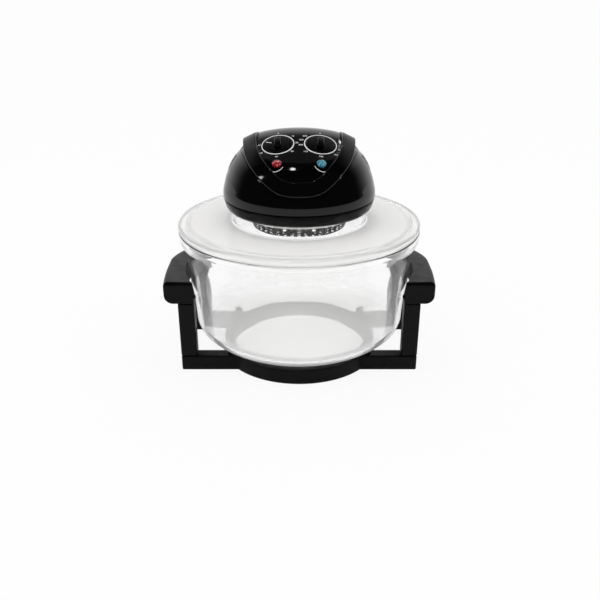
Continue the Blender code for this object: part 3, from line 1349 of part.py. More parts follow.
def halogen_heater():
    route = tube_route()
    tube = wire("halogen_tube", route, TUBE_RADIUS, QUARTZ, sides_resolution=2)
    reach = (route[1] - route[0]).normalized() * TUBE_RADIUS
    back = (route[-2] - route[-1]).normalized() * TUBE_RADIUS
    bore_route = [route[0] - reach] + route + [route[-1] - back]
    cut(tube, wire("tube_bore", bore_route, TUBE_RADIUS - TUBE_GLASS, sides_resolution=2))
    wire("halogen_filament", route, FILAMENT_RADIUS, TUNGSTEN)
    half = CAP_BLOCK_SIZE / 2
    top = REFLECTOR_Z - FIT_GAP
    ends = (("left", route[0], route[1]), ("right", route[-1], route[-2]))
    for word, end, near in ends:
        out = (end - near).normalized()
        turn = out.to_track_quat("X", "Z").to_matrix().to_4x4()
        cap = box("heater_end_cap_" + word, (0, -half, -TUBE_RADIUS - FIT_GAP),
                  (CAP_BLOCK_LENGTH, half, top - TUBE_Z), CERAMIC)
        cap.matrix_world = Matrix.Translation(end + out * FIT_GAP) @ turn


def tube_clip():
    """The spring clip under the reflector that holds the front of the lamp tube."""
    top = REFLECTOR_Z - FIT_GAP
    place = Matrix.Translation(tube_point(CLIP_ANGLE_DEG)) @ around_z(CLIP_ANGLE_DEG)
    along = place @ Matrix.Rotation(pi / 2, 4, "X")
    outer = TUBE_RADIUS + RUN_GAP + CLIP_SHEET
    clip = rod("tube_clip", outer, -CLIP_WIDTH / 2, CLIP_WIDTH / 2, STEEL, along, steps=14)
    stem = box("clip_stem", (-CLIP_SHEET, -CLIP_WIDTH / 2 + CLIP_SHEET, outer - 2 * CLIP_SHEET),
               (CLIP_SHEET, CLIP_WIDTH / 2 - CLIP_SHEET, top - TUBE_Z))
    stem.matrix_world = place
    bore = rod("clip_bore", TUBE_RADIUS + RUN_GAP, -CLIP_WIDTH, CLIP_WIDTH, None, along, steps=14)
    return cut(join(clip, stem), bore)


def thermostat_sensor():
    """The thermostat's bulb in the heater and the thin tube that leads up to its body."""
    half = BULB_LENGTH / 2
    hole = capillary_place().translation
    rise = BULB_RADIUS * 2
    body = face_place(DIAL_X, DIAL_Y)
    entry = body @ Vector((CONTROL_WIDTH / 6, -CONTROL_DEPTH / 2 - CAPILLARY_RADIUS,
                           -CONTROL_DROP - CONTROL_HEIGHT / 2))
    before = body @ Vector((CONTROL_WIDTH / 6, -CONTROL_DEPTH * 0.8,
                            -CONTROL_DROP - CONTROL_HEIGHT * 0.8))
    thin = CAPILLARY_RADIUS / BULB_RADIUS
    route = [
        (-half, BULB_Y, BULB_Z), (half, BULB_Y, BULB_Z), (half + rise / 2, BULB_Y, BULB_Z),
        (hole.x - rise / 2, between(BULB_Y, hole.y, 0.5), BULB_Z + rise / 4),
        (hole.x, hole.y, REFLECTOR_Z - CAPILLARY_RADIUS),
        (hole.x, hole.y, between(REFLECTOR_Z, FLOOR_TOP_Z, 0.5)),
        (hole.x, hole.y, FLOOR_TOP_Z + rise),
        (hole.x + rise, between(hole.y, before.y, 0.2), between(FLOOR_TOP_Z, before.z, 0.55)),
        tuple(before), tuple(entry),
    ]
    radii = [1, 1] + [thin] * (len(route) - 2)
    return wire("thermostat_sensor", route, BULB_RADIUS, COPPER, radii=radii)


# Motor and fans

def motor_screw_place(side):
    return Matrix.Translation((side * MOTOR_FOOT_X, side * MOTOR_FOOT_Y, 0))


def motor():
    top = STATOR_Z + STATOR_HEIGHT
    bracket("motor_lower_bracket", MOTOR_LOWER_Z, FLOOR_TOP_Z + FIT_GAP, STATOR_Z - FIT_GAP)
    bracket("motor_upper_bracket", MOTOR_UPPER_Z, top + FIT_GAP, MOTOR_UPPER_Z + BRACKET_SHEET)
    stator = box("motor_stator", (-STATOR_HALF_WIDTH, STATOR_FRONT_Y, STATOR_Z),
                 (STATOR_HALF_WIDTH, STATOR_REAR_Y, top), IRON)
    gaps = bmesh.new()
    add_rod(gaps, ROTOR_RADIUS + RUN_GAP, STATOR_Z - OVERRUN, top + OVERRUN, steps=24)
    window_rear = STATOR_REAR_Y - STATOR_LEG
    add_box(gaps, (-STATOR_WINDOW_HALF_WIDTH, window_rear - STATOR_WINDOW, STATOR_Z - OVERRUN),
            (STATOR_WINDOW_HALF_WIDTH, window_rear, top + OVERRUN))
    for side in (-1, 1):
        add_rod(gaps, MOTOR_SCREW_RADIUS + FIT_GAP, STATOR_Z - OVERRUN, top + OVERRUN,
                motor_screw_place(side), steps=8)
    cut(stator, from_bmesh(gaps, "stator_gaps"))
    coil = box("motor_coil", (-COIL_HALF_LENGTH, window_rear - COIL_WALL - FIT_GAP,
                              STATOR_Z - COIL_WALL),
               (COIL_HALF_LENGTH, STATOR_REAR_Y + COIL_WALL, top + COIL_WALL), COPPER,
               rounding=COIL_WALL / 3)
    leg = box("coil_leg", (-STATOR_HALF_WIDTH, window_rear - FIT_GAP, STATOR_Z - FIT_GAP),
              (STATOR_HALF_WIDTH, STATOR_REAR_Y + FIT_GAP, top + FIT_GAP))
    cut(coil, leg)
    for word, side in SIDES:
        screw("motor_screw_" + word, motor_screw_place(side),
              MOTOR_UPPER_Z + BRACKET_SHEET + FIT_GAP, LOWER_FLOOR_Z, MOTOR_SCREW_RADIUS,
              MOTOR_SCREW_HEAD_RADIUS, MOTOR_SCREW_HEAD_HEIGHT)


def bracket(name, low, legs_low, legs_high):
    """A flat bracket from screw to screw, with its legs and the bearing boss in its middle."""
    high = low + BRACKET_SHEET
    turn = Matrix.Rotation(atan2(MOTOR_FOOT_Y, MOTOR_FOOT_X), 4, "Z")
    made = box(name, (-BRACKET_LENGTH / 2, -BRACKET_WIDTH / 2, low),
               (BRACKET_LENGTH / 2, BRACKET_WIDTH / 2, high), ZINC)
    made.matrix_world = turn
    legs = bmesh.new()
    add_rod(legs, BEARING_RADIUS, high - BEARING_HEIGHT, high + BEARING_HEIGHT / 2, steps=12)
    for side in (-1, 1):
        add_rod(legs, MOTOR_SCREW_HEAD_RADIUS, legs_low, legs_high, motor_screw_place(side),
                steps=8)
    holes = bmesh.new()
    add_rod(holes, SHAFT_RADIUS + FIT_GAP, low - 2 * BEARING_HEIGHT, high + 2 * BEARING_HEIGHT)
    for side in (-1, 1):
        add_rod(holes, MOTOR_SCREW_RADIUS + FIT_GAP, legs_low - OVERRUN, legs_high + OVERRUN,
                motor_screw_place(side), steps=8)
    return cut(join(made, from_bmesh(legs, name + "_legs")), from_bmesh(holes, name + "_holes"))


def fan(name, low, height, radius, blades, twist_deg, finish):
    """A stamped fan: a hub disc with a bored boss and blades standing on the disc."""
    disc = rod(name, radius * 0.55, low, low + FAN_PLATE, finish, steps=24)
    boss = rod(name + "_boss", FAN_HUB_RADIUS, low, low + height, steps=16)
    shape = bmesh.new()
    for index in range(blades):
        verts = add_box(shape, (FAN_HUB_RADIUS + FAN_PLATE, -FAN_PLATE / 2, low + FAN_PLATE / 2),
                        (radius, FAN_PLATE / 2, low + height))
        swing = around_z(360 * index / blades) @ Matrix.Translation((radius / 3, 0, 0))
        swing = swing @ Matrix.Rotation(radians(twist_deg), 4, "Z")
        swing = swing @ Matrix.Translation((-radius / 3, 0, 0))
        bmesh.ops.transform(shape, matrix=swing, verts=verts)
    blade_set = from_bmesh(shape, name + "_blades")
    bore = rod(name + "_bore", SHAFT_RADIUS + FIT_GAP / 3, low - OVERRUN, low + height + OVERRUN)
    return cut(join(disc, boss, blade_set), bore)


def rotor():
    core = rod("motor_rotor", ROTOR_RADIUS, STATOR_Z, STATOR_Z + STATOR_HEIGHT, IRON, steps=20)
    join(core, rod("rotor_shaft", SHAFT_RADIUS, SHAFT_BOTTOM_Z, SHAFT_TOP_Z))
    fan("cooling_fan", COOLING_FAN_Z, COOLING_FAN_HEIGHT, COOLING_FAN_RADIUS, COOLING_BLADES,
        14, ALUMINIUM)
    fan("convection_fan", CONVECTION_FAN_Z, CONVECTION_FAN_HEIGHT, CONVECTION_FAN_RADIUS,
        CONVECTION_BLADES, 20, STEEL)
    nut = rod("fan_nut", FAN_HUB_RADIUS / 2, SHAFT_BOTTOM_Z + FAN_PLATE,
              CONVECTION_FAN_Z - FIT_GAP, ZINC, steps=6)
    cut(nut, rod("nut_bore", SHAFT_RADIUS + FIT_GAP / 3, SHAFT_BOTTOM_Z - OVERRUN,
                 CONVECTION_FAN_Z + OVERRUN))


# Build

base_frame()
uprights()
grips()
stand_screws()
glass_bowl()
lid_glass()
lid_gasket()
lower_housing()
dome_housing()
control_cap()
housing_screws()
carry_handle()
pivot_pins()
dial_rings()
knobs()
controls()
lamps()
safety_switch()
switch_plunger()
power_inlet()
floor_pieces()
reflector()
heater_studs()
heat_shield()
heater_guard()
halogen_heater()
tube_clip()
thermostat_sensor()
motor()
rotor()
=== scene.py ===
import bmesh
import bpy
from math import asin, cos, hypot, pi, radians, sin, tan
from mathutils import Matrix, Vector


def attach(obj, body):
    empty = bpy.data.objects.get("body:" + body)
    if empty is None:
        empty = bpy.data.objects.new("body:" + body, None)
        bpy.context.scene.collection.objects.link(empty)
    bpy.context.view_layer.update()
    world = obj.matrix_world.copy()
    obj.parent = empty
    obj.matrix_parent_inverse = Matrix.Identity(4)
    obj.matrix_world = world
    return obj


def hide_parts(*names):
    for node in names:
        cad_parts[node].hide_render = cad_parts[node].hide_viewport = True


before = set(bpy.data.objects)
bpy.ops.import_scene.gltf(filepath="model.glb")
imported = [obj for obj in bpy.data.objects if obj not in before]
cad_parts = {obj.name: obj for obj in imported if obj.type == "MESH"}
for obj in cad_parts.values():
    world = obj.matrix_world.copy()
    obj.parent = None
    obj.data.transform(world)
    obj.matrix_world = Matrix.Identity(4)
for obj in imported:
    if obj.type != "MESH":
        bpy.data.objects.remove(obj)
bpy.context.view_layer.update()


# Table, studio light and camera
# The oven stands on one pale table top that runs on out of sight, in a plain white room.  A soft
# box lights it from each side in front, and two small lamps put the glints on the gloss plastic.
TABLE_REACH = 60.0
TABLE_DROP = 0.0001
PALE_TABLE = (0.86, 0.86, 0.86, 1)
WHITE = (1, 1, 1, 1)
SEEN_WHITE_SHARE = 0.88
TABLE_GLINT_SHARE = 0.09
ROOM_LEVEL = 1.0
BACKDROP_TOP_SHARE = 0.58
BACKDROP_FADE_SHARE = 0.90
CEILING_LEVEL = 0.05
BACKDROP_BACK_SHARE = 0.80
BACKDROP_SIDE_SHARE = 0.10
FRONT_LEVEL = 0.03
THROUGH_GLASS_CEILING = 0.50
SEEN_WALL_LEVEL = 0.975
FIRST_BOUNCE = 0.5
CAMERA_PLACE = (0.0011, -0.9650, 0.5186)
CAMERA_DOWN_DEG = 24.58
CAMERA_LENS_MM = 42.65
CAMERA_SENSOR_MM = 36
LAMP_AIM_Z = 0.2000
LAMPS = (  # name, place, width, height, watts
    ("soft_box_left", (-1.55, -0.75, 1.35), 0.260, 0.260, 2.6),
    ("soft_box_right", (1.60, -0.55, 1.20), 0.200, 0.200, 1.8),
    ("spark_lamp_middle", (-0.149, -0.020, 1.790), 0.120, 0.120, 1.0),
    ("spark_lamp_right", (0.478, 0.845, 1.454), 0.100, 0.012, 0.16),
)


def clear_selection():
    """Leave nothing selected, so that an operator acts on the new piece only."""
    bpy.ops.object.select_all(action="DESELECT")


def feed(tree, value, socket):
    """Set a socket to a value, or link another socket to it."""
    if isinstance(value, bpy.types.NodeSocket):
        tree.links.new(value, socket)
    else:
        socket.default_value = value


def added(tree, kind, **inputs):
    """A new shader node, with inputs set or linked by their names, where _ is a space."""
    node = tree.nodes.new("ShaderNode" + kind)
    for name, value in inputs.items():
        feed(tree, value, node.inputs[name.replace("_", " ")])
    return node


def axes(tree, space):
    """The X, Y and Z of each place, as measured in a space."""
    return added(tree, "SeparateXYZ", Vector=added(tree, "TexCoord").outputs[space]).outputs


def worked_out(tree, operation, *values):
    """One sum on sockets or numbers."""
    node = added(tree, "Math")
    node.operation = operation
    for socket, value in zip(node.inputs, values):
        feed(tree, value, socket)
    return node.outputs["Value"]


def faded(tree, value, start, end, first, last, way="SMOOTHSTEP"):
    """A value that passes from first to last between a start and an end."""
    node = added(tree, "MapRange", Value=value, From_Min=start, From_Max=end, To_Min=first,
                 To_Max=last)
    node.interpolation_type = way
    return node.outputs["Result"]


def mixed(tree, share, first, second):
    """Two shaders blended, with a share of the second."""
    node = added(tree, "MixShader")
    for socket, value in zip(node.inputs, (share, first, second)):
        feed(tree, value, socket)
    return node.outputs["Shader"]


def seen_directly(tree, glint_share=1.0):
    """One for what the eye meets, also through clear glass, and a share of it for glints."""
    path = added(tree, "LightPath")
    glint = worked_out(tree, "MULTIPLY", path.outputs["Is Glossy Ray"], glint_share)
    plain = worked_out(tree, "MAXIMUM", path.outputs["Is Camera Ray"],
                       path.outputs["Is Transmission Ray"])
    first_hand = worked_out(tree, "LESS_THAN", path.outputs["Diffuse Depth"], FIRST_BOUNCE)
    return worked_out(tree, "MULTIPLY", worked_out(tree, "MAXIMUM", glint, plain), first_hand)


def table_finish():
    """Matt and pale where light falls on it, and nearly white where it is looked at."""
    made = bpy.data.materials.new("pale_table")
    made.use_nodes = True
    tree = made.node_tree
    tree.nodes.clear()
    matt = added(tree, "BsdfDiffuse", Color=PALE_TABLE)
    white = added(tree, "Emission")
    share = worked_out(tree, "MULTIPLY", seen_directly(tree, TABLE_GLINT_SHARE), SEEN_WHITE_SHARE)
    added(tree, "OutputMaterial",
          Surface=mixed(tree, share, matt.outputs["BSDF"], white.outputs["Emission"]))
    return made


def room_light():
    """A plain even room for the light.  The eye and clear glass meet a white room, and gloss
    mirrors a white backdrop behind the oven, with the room dark overhead and in front."""
    room = bpy.data.worlds.new("studio")
    bpy.context.scene.world = room
    room.use_nodes = True
    tree = room.node_tree
    even = added(tree, "Background", Color=WHITE, Strength=ROOM_LEVEL)
    way = axes(tree, "Generated")
    upward = faded(tree, way["Z"], BACKDROP_TOP_SHARE, BACKDROP_FADE_SHARE, 1, CEILING_LEVEL)
    backward = faded(tree, way["Y"], BACKDROP_SIDE_SHARE, BACKDROP_BACK_SHARE, FRONT_LEVEL, 1)
    mirrored = worked_out(tree, "MULTIPLY", upward, backward)
    straight = faded(tree, way["Z"], BACKDROP_TOP_SHARE, 1, SEEN_WALL_LEVEL,
                     THROUGH_GLASS_CEILING)
    glint = added(tree, "LightPath").outputs["Is Glossy Ray"]
    shown = added(tree, "Background", Color=WHITE,
                  Strength=faded(tree, glint, 0, 1, straight, mirrored))
    feed(tree, mixed(tree, seen_directly(tree), even.outputs["Background"],
                     shown.outputs["Background"]), tree.nodes["World Output"].inputs["Surface"])


clear_selection()
bpy.ops.mesh.primitive_plane_add(size=TABLE_REACH, location=(0, 0, -TABLE_DROP))
table = bpy.context.object
table.name = "table_top"
table.data.materials.append(table_finish())
room_light()
for lamp_name, lamp_place, lamp_width, lamp_height, lamp_watts in LAMPS:
    bpy.ops.object.light_add(type="AREA", location=lamp_place)
    lamp = bpy.context.object
    lamp.name = lamp_name
    lamp.data.shape = "ELLIPSE"
    lamp.data.size = lamp_width
    lamp.data.size_y = lamp_height
    lamp.data.energy = lamp_watts
    aim = Vector((0, 0, LAMP_AIM_Z)) - Vector(lamp_place)
    lamp.rotation_euler = aim.to_track_quat("-Z", "Y").to_euler()
bpy.ops.object.camera_add(location=CAMERA_PLACE, rotation=(radians(90 - CAMERA_DOWN_DEG), 0, 0))
bpy.context.object.data.lens = CAMERA_LENS_MM
bpy.context.object.data.sensor_width = CAMERA_SENSOR_MM
bpy.context.scene.camera = bpy.context.object
bpy.context.scene.view_settings.view_transform = "Standard"


# Base frame
# A round ring and two cross bars moulded in one piece of satin black plastic, with four short
# studs that the bowl rests on.  The bars stand flat on the table.
FRAME_TOP_Z = 0.0225
RING_OUTER_LOW = 0.1147
RING_OUTER_HIGH = 0.1135
RING_INNER = 0.0997
RING_INSET = 0.0005
RING_ROUND = 0.0012
BAR_LENGTH = 0.3370
BAR_DEPTH = 0.0200
BAR_Y = 0.0636
BAR_ROUND = 0.0020
STUD_X = 0.0980
STUD_RADIUS = 0.0058
STUD_ROOT = 0.0040
STUD_CUT_Z = 0.0500
SCREW_X = 0.1593
SCREW_HEAD_ROOM = 0.0048
SCREW_SHANK_ROOM = 0.0027
SCREW_SINK = 0.0070
CORNERS = [(sx, sy) for sx in (-1, 1) for sy in (-1, 1)]
FIT_GAP = 0.0003
OVERRUN = 0.0100
MERGE_REACH = 0.000004
BOWL_FLOOR_Z = 0.0215
BOWL_FLOOR_RADIUS = 0.0540
BOWL_CORNER_WIDTH = 0.0970
BOWL_CORNER_HEIGHT = 0.0430
BOWL_WALL = ((0.1510, 0.0645), (0.1529, 0.0929), (0.15575, 0.11514), (0.1585, 0.1385),
             (0.1613, 0.1621), (0.1681, 0.1812), (0.1700, 0.1880))
BOWL_WALL_STEP = 0.0001
BOWL_RIM_Z = 0.1970
SATIN_LIGHT = (0.0014, 0.0011, 0.0021)
SATIN_DARK = (0.0008, 0.0006, 0.0012)
TONE_SPREAD = (0.32, 0.68)
GLOSS_SPREAD = (0.30, 0.70)
CORNER_REACH_SHARE = 0.49


def finish(name, light, dark, gloss, grain, relief, metallic=0.0, stretch=(1, 1, 1), drift=0.03,
           specular=0.5):
    """A surface that drifts between two tones, whose gloss wanders between two values and
    which has a fine relief: grain is the size of its pattern and relief its depth."""
    made = bpy.data.materials.new(name)
    made.use_nodes = True
    tree = made.node_tree
    along = added(tree, "Mapping", Scale=stretch, Vector=added(tree, "TexCoord").outputs["Object"])

    def pattern(size, detail):
        return added(tree, "TexNoise", Scale=1 / size, Detail=detail,
                     Vector=along.outputs["Vector"]).outputs["Fac"]

    tones = added(tree, "ValToRGB", Fac=pattern(drift, 4))
    for stop, position, tone in zip(tones.color_ramp.elements, TONE_SPREAD, (dark, light)):
        stop.position = position
        stop.color = (*tone, 1)
    shine = faded(tree, pattern(drift / 3, 3), *GLOSS_SPREAD, *gloss, "LINEAR")
    bump = added(tree, "Bump", Distance=relief, Height=pattern(grain, 2))
    for name, value in {"Base Color": tones.outputs["Color"], "Roughness": shine,
                        "Normal": bump.outputs["Normal"], "Metallic": metallic,
                        "Specular IOR Level": specular}.items():
        feed(tree, value, tree.nodes["Principled BSDF"].inputs[name])
    return made


def shares(steps):
    """Even shares of a way, from 0 to 1."""
    return [step / steps for step in range(steps + 1)]


def rounded(corners, steps=5, closed=False):
    """The points of an outline of (radius, height, rounding) corners, rounded off as arcs."""
    points = []
    count = len(corners)
    for index, (x, z, rounding) in enumerate(corners):
        ends = not closed and index in (0, count - 1)
        if ends or rounding <= 0:
            points.append((x, z))
            continue
        here = Vector((x, z))
        back = Vector(corners[index - 1][:2]) - here
        on = Vector(corners[(index + 1) % count][:2]) - here
        half = back.angle(on) / 2
        reach = min(rounding / tan(half), CORNER_REACH_SHARE * min(back.length, on.length))
        start = here + back.normalized() * reach
        end = here + on.normalized() * reach
        weight = sin(half)
        for share in shares(steps):
            near, middle, far = (1 - share) ** 2, 2 * share * (1 - share) * weight, share ** 2
            total = near + middle + far
            points.append(tuple((start * near + here * middle + end * far) / total))
    return points


def drawn_outline(name, points):
    """A new piece that is only a line of points, drawn on from one point by extrusion."""
    clear_selection()
    bpy.ops.mesh.primitive_plane_add(size=0.002)
    piece = bpy.context.object
    piece.name = name
    bpy.ops.object.mode_set(mode="EDIT")
    bpy.ops.mesh.select_mode(type="VERT")
    bpy.ops.mesh.merge(type="CENTER")
    bpy.ops.transform.translate(value=points[0])
    for here, there in zip(points, points[1:]):
        step = tuple(b - a for a, b in zip(here, there))
        bpy.ops.mesh.extrude_region_move(TRANSFORM_OT_translate={"value": step})
    return piece


def mend(doubles=0.0):
    """Merge doubled points, turn all faces outwards and leave the piece finished."""
    bpy.ops.object.mode_set(mode="EDIT")
    bpy.ops.mesh.select_all(action="SELECT")
    if doubles:
        bpy.ops.mesh.remove_doubles(threshold=doubles)
    bpy.ops.mesh.normals_make_consistent(inside=False)
    bpy.ops.object.mode_set(mode="OBJECT")


def smooth(degrees=35):
    """Shade the active piece smooth where its faces meet at less than an angle."""
    bpy.ops.object.shade_smooth_by_angle(angle=radians(degrees))


def slab(name, points, way):
    """A flat outline, closed and filled, drawn out to a thickness."""
    piece = drawn_outline(name, list(points) + [points[0]])
    bpy.ops.mesh.select_all(action="SELECT")
    bpy.ops.mesh.remove_doubles(threshold=MERGE_REACH)
    bpy.ops.mesh.select_all(action="SELECT")
    bpy.ops.mesh.edge_face_add()
    bpy.ops.mesh.extrude_region_move(TRANSFORM_OT_translate={"value": way})
    mend()
    return piece


def turned(name, outline, steps=160, closed=False, smooth_deg=35):
    """Draw half a piece's section and spin it once round the upright axis."""
    if closed:
        outline = list(outline) + [outline[0]]
    piece = drawn_outline(name, [(x, 0, z) for x, z in outline])
    bpy.ops.mesh.select_all(action="SELECT")
    bpy.ops.mesh.spin(steps=steps, angle=2 * pi, center=(0, 0, 0), axis=(0, 0, 1))
    mend(MERGE_REACH)
    smooth(smooth_deg)
    return piece


def settled(name):
    """The newly added piece, named, with its place and size taken up in its points."""
    bpy.ops.object.transform_apply(location=True, rotation=True, scale=True)
    bpy.context.object.name = name
    return bpy.context.object


def block(name, low, high, rounding=0.0, segments=4):
    """A block between two corners with its edges rounded."""
    clear_selection()
    size = [b - a for a, b in zip(low, high)]
    middle = [(a + b) / 2 for a, b in zip(low, high)]
    bpy.ops.mesh.primitive_cube_add(size=1, location=middle, scale=size)
    piece = settled(name)
    if rounding:
        bpy.ops.object.mode_set(mode="EDIT")
        bpy.ops.mesh.select_all(action="SELECT")
        bpy.ops.mesh.bevel(offset=rounding, segments=segments, affect="EDGES")
        bpy.ops.object.mode_set(mode="OBJECT")
    smooth()
    return piece


def at(x, y=0, z=0):
    """A place in the oven, not turned."""
    return Matrix.Translation((x, y, z))


def turned_by(angle):
    """A turn about the upright axis."""
    return Matrix.Rotation(angle, 4, "Z")


def rod(name, radius, low, high, place=Matrix(), steps=48, rounding=0.0):
    """A round rod along the local Z axis of a place, its end edges rounded."""
    clear_selection()
    bpy.ops.mesh.primitive_cylinder_add(vertices=steps, radius=radius, depth=high - low,
                                        location=(0, 0, (low + high) / 2))
    piece = settled(name)
    if rounding:
        use_modifier(piece, "BEVEL", width=rounding, segments=3, limit_method="ANGLE",
                     angle_limit=radians(60))
    piece.data.transform(place)
    smooth()
    return piece


def pick(piece):
    """Select one piece alone and make it the active one."""
    clear_selection()
    piece.select_set(True)
    bpy.context.view_layer.objects.active = piece


def use_modifier(piece, kind, **settings):
    """Add a modifier, set it and apply it."""
    made = piece.modifiers.new(kind.lower(), kind)
    for key, value in settings.items():
        setattr(made, key, value)
    pick(piece)
    bpy.ops.object.modifier_apply(modifier=made.name)


def combine(piece, operation, *others):
    """Join pieces to this one, cut them from it or keep only what is within them."""
    for other in others:
        use_modifier(piece, "BOOLEAN", operation=operation, object=other, solver="EXACT")
        bpy.data.objects.remove(other, do_unlink=True)
    return piece


def cut(piece, *tools):
    return combine(piece, "DIFFERENCE", *tools)


def join(piece, *others):
    return combine(piece, "UNION", *others)


def gathered(name, pieces):
    """Several separate bodies as one piece."""
    clear_selection()
    for piece in pieces:
        piece.select_set(True)
    bpy.context.view_layer.objects.active = pieces[0]
    bpy.ops.object.join()
    pieces[0].name = name
    return pieces[0]


def fit(piece, body, slot, material, *nodes):
    """Give a finished piece its material, its moving body and the nodes it stands for."""
    piece.data.materials.clear()
    piece.data.materials.append(material)
    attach(piece, body)
    if nodes:
        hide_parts(*nodes)


def bowl_side(steps, lift=0.0):
    """The bowl's outer side from the middle of its floor to its rim."""
    points = [(0, BOWL_FLOOR_Z + lift), (BOWL_FLOOR_RADIUS, BOWL_FLOOR_Z + lift)]
    top = BOWL_FLOOR_Z + BOWL_CORNER_HEIGHT
    for share in shares(steps)[1:]:
        angle = pi / 2 * share
        points.append((BOWL_FLOOR_RADIUS + BOWL_CORNER_WIDTH * sin(angle),
                       top - BOWL_CORNER_HEIGHT * cos(angle) + lift))
    wall = smooth_line([points[-2]] + [(r, z + lift) for r, z in BOWL_WALL], max(steps // 5, 4))
    points += [p for p in wall if p[1] > points[-1][1] + BOWL_WALL_STEP]
    points.append((BOWL_WALL[-1][0], BOWL_RIM_Z + lift))
    return points


def smooth_line(points, steps):
    """A smooth line through points, with several steps between each two."""
    line = []
    count = len(points)
    for index in range(count - 1):
        p0, p1, p2, p3 = (Vector(points[min(max(index + k, 0), count - 1)])
                          for k in (-1, 0, 1, 2))
        for step in range(steps):
            t = step / steps
            line.append(tuple(0.5 * (2 * p1 + (p2 - p0) * t
                                     + (2 * p0 - 5 * p1 + 4 * p2 - p3) * t * t
                                     + (3 * p1 - 3 * p2 + p3 - p0) * t * t * t)))
    line.append(tuple(points[-1]))
    return line


def bowl_room(name):
    """The room that the bowl takes, a little larger, for cutting what lies under it."""
    return turned(name, bowl_side(8, -FIT_GAP) + [(0, BOWL_RIM_Z)], steps=96)


satin_black = finish("satin_black_plastic", SATIN_LIGHT, SATIN_DARK, (0.30, 0.42), 0.0005,
                     0.00002, specular=0.13)
ring_corners = [
    (RING_INNER, RING_INSET, RING_ROUND),
    (RING_OUTER_LOW, RING_INSET, RING_ROUND),
    (RING_OUTER_HIGH, FRAME_TOP_Z - RING_INSET, RING_ROUND),
    (RING_INNER, FRAME_TOP_Z - RING_INSET, RING_ROUND),
]
stand_base = turned("stand_base", rounded(ring_corners, 4, closed=True), closed=True)
for sy in (-1, 1):
    join(stand_base, block("bar", (-BAR_LENGTH / 2, sy * BAR_Y - BAR_DEPTH / 2, 0),
                           (BAR_LENGTH / 2, sy * BAR_Y + BAR_DEPTH / 2, FRAME_TOP_Z), BAR_ROUND))
cut(stand_base, rod("ring_bore", RING_INNER, -OVERRUN, FRAME_TOP_Z + OVERRUN, steps=160))
join(stand_base, gathered("studs", [
    rod("stud", STUD_RADIUS, FRAME_TOP_Z - STUD_ROOT, STUD_CUT_Z,
        at(sx * STUD_X, sy * BAR_Y), 32) for sx, sy in CORNERS]))
cut(stand_base, bowl_room("bowl_room"))
screw_places = [at(sx * SCREW_X, sy * BAR_Y) for sx, sy in CORNERS]
recesses = [rod("recess", SCREW_HEAD_ROOM, -OVERRUN, SCREW_SINK, place) for place in screw_places]
shanks = [rod("shank", SCREW_SHANK_ROOM, 0, FRAME_TOP_Z + OVERRUN, place, 32)
          for place in screw_places]
cut(stand_base, gathered("recesses", recesses), gathered("shanks", shanks))
smooth()
fit(stand_base, "stand", "satin_black", satin_black, "base_frame")


# Uprights
# Four square posts of the same black plastic, set on the bar ends and screwed from below.  A
# tenon on top of each keys it into its grip.
POST_WIDTH = 0.0224
POST_ROUND = 0.0020
POST_X = 0.1573
GRIP_LOW_Z = 0.1050
TENON_INNER_INSET = 0.0085
TENON_OUTER_INSET = 0.0045
TENON_HEIGHT = 0.0090
TENON_ROOT = 0.0050
TENON_ROUND = 0.0004
SIDES = (("left", -1), ("right", 1))
ENDS = (("front", -1), ("rear", 1))


def tenon_span(sx, clearance=0.0):
    """Where a tenon starts and ends along X, on the left or the right of the oven."""
    near = POST_X - POST_WIDTH / 2 + TENON_INNER_INSET - clearance
    far = POST_X + POST_WIDTH / 2 - TENON_OUTER_INSET + clearance
    return sorted((sx * near, sx * far))


foot = FRAME_TOP_Z + FIT_GAP
head = GRIP_LOW_Z - FIT_GAP
for end, sy in ENDS:
    for side, sx in SIDES:
        y = sy * BAR_Y
        post = block("upright_post_%s_%s" % (end, side),
                     (sx * POST_X - POST_WIDTH / 2, y - BAR_DEPTH / 2, foot),
                     (sx * POST_X + POST_WIDTH / 2, y + BAR_DEPTH / 2, head), POST_ROUND)
        low_x, high_x = tenon_span(sx)
        tenon_half = BAR_DEPTH / 2 - TENON_OUTER_INSET
        join(post, block("tenon", (low_x, y - tenon_half, head - TENON_ROOT),
                         (high_x, y + tenon_half, head + TENON_HEIGHT), TENON_ROUND, 2))
        cut(post, rod("post_bore", SCREW_SHANK_ROOM, foot - OVERRUN,
                      head + TENON_HEIGHT + OVERRUN, at(sx * SCREW_X, y), 32))
        fit(post, "stand", "satin_black", satin_black, "upright_%s_%s" % (end, side))


# Grips
# The two side grips are thick blocks of black plastic that bow outwards and follow the bowl on
# their inner side, with small stops that keep the bowl in the middle.
GRIP_TOP_Z = 0.1360
GRIP_INNER = 0.16390
GRIP_MIDDLE_X = 0.1910
GRIP_FRONT_X = 0.1865
GRIP_REAR_X = 0.1680
GRIP_END_Y = 0.0736
GRIP_BEND_Y = 0.0200
GRIP_REAR_POWER = 1.6
GRIP_STEPS = 22
GRIP_ARC_STEPS = 40
GRIP_ROUND_TOP = 0.0050
GRIP_ROUND_LOW = 0.0120
GRIP_INNER_MARGIN = 0.0006
SOCKET_DEPTH = 0.0092
STOP_RADIUS = 0.0030
STOP_REACH = 0.0069
STOP_ROOT = 0.0020
STOP_ROUND = 0.0008
STOP_Z = 0.1105


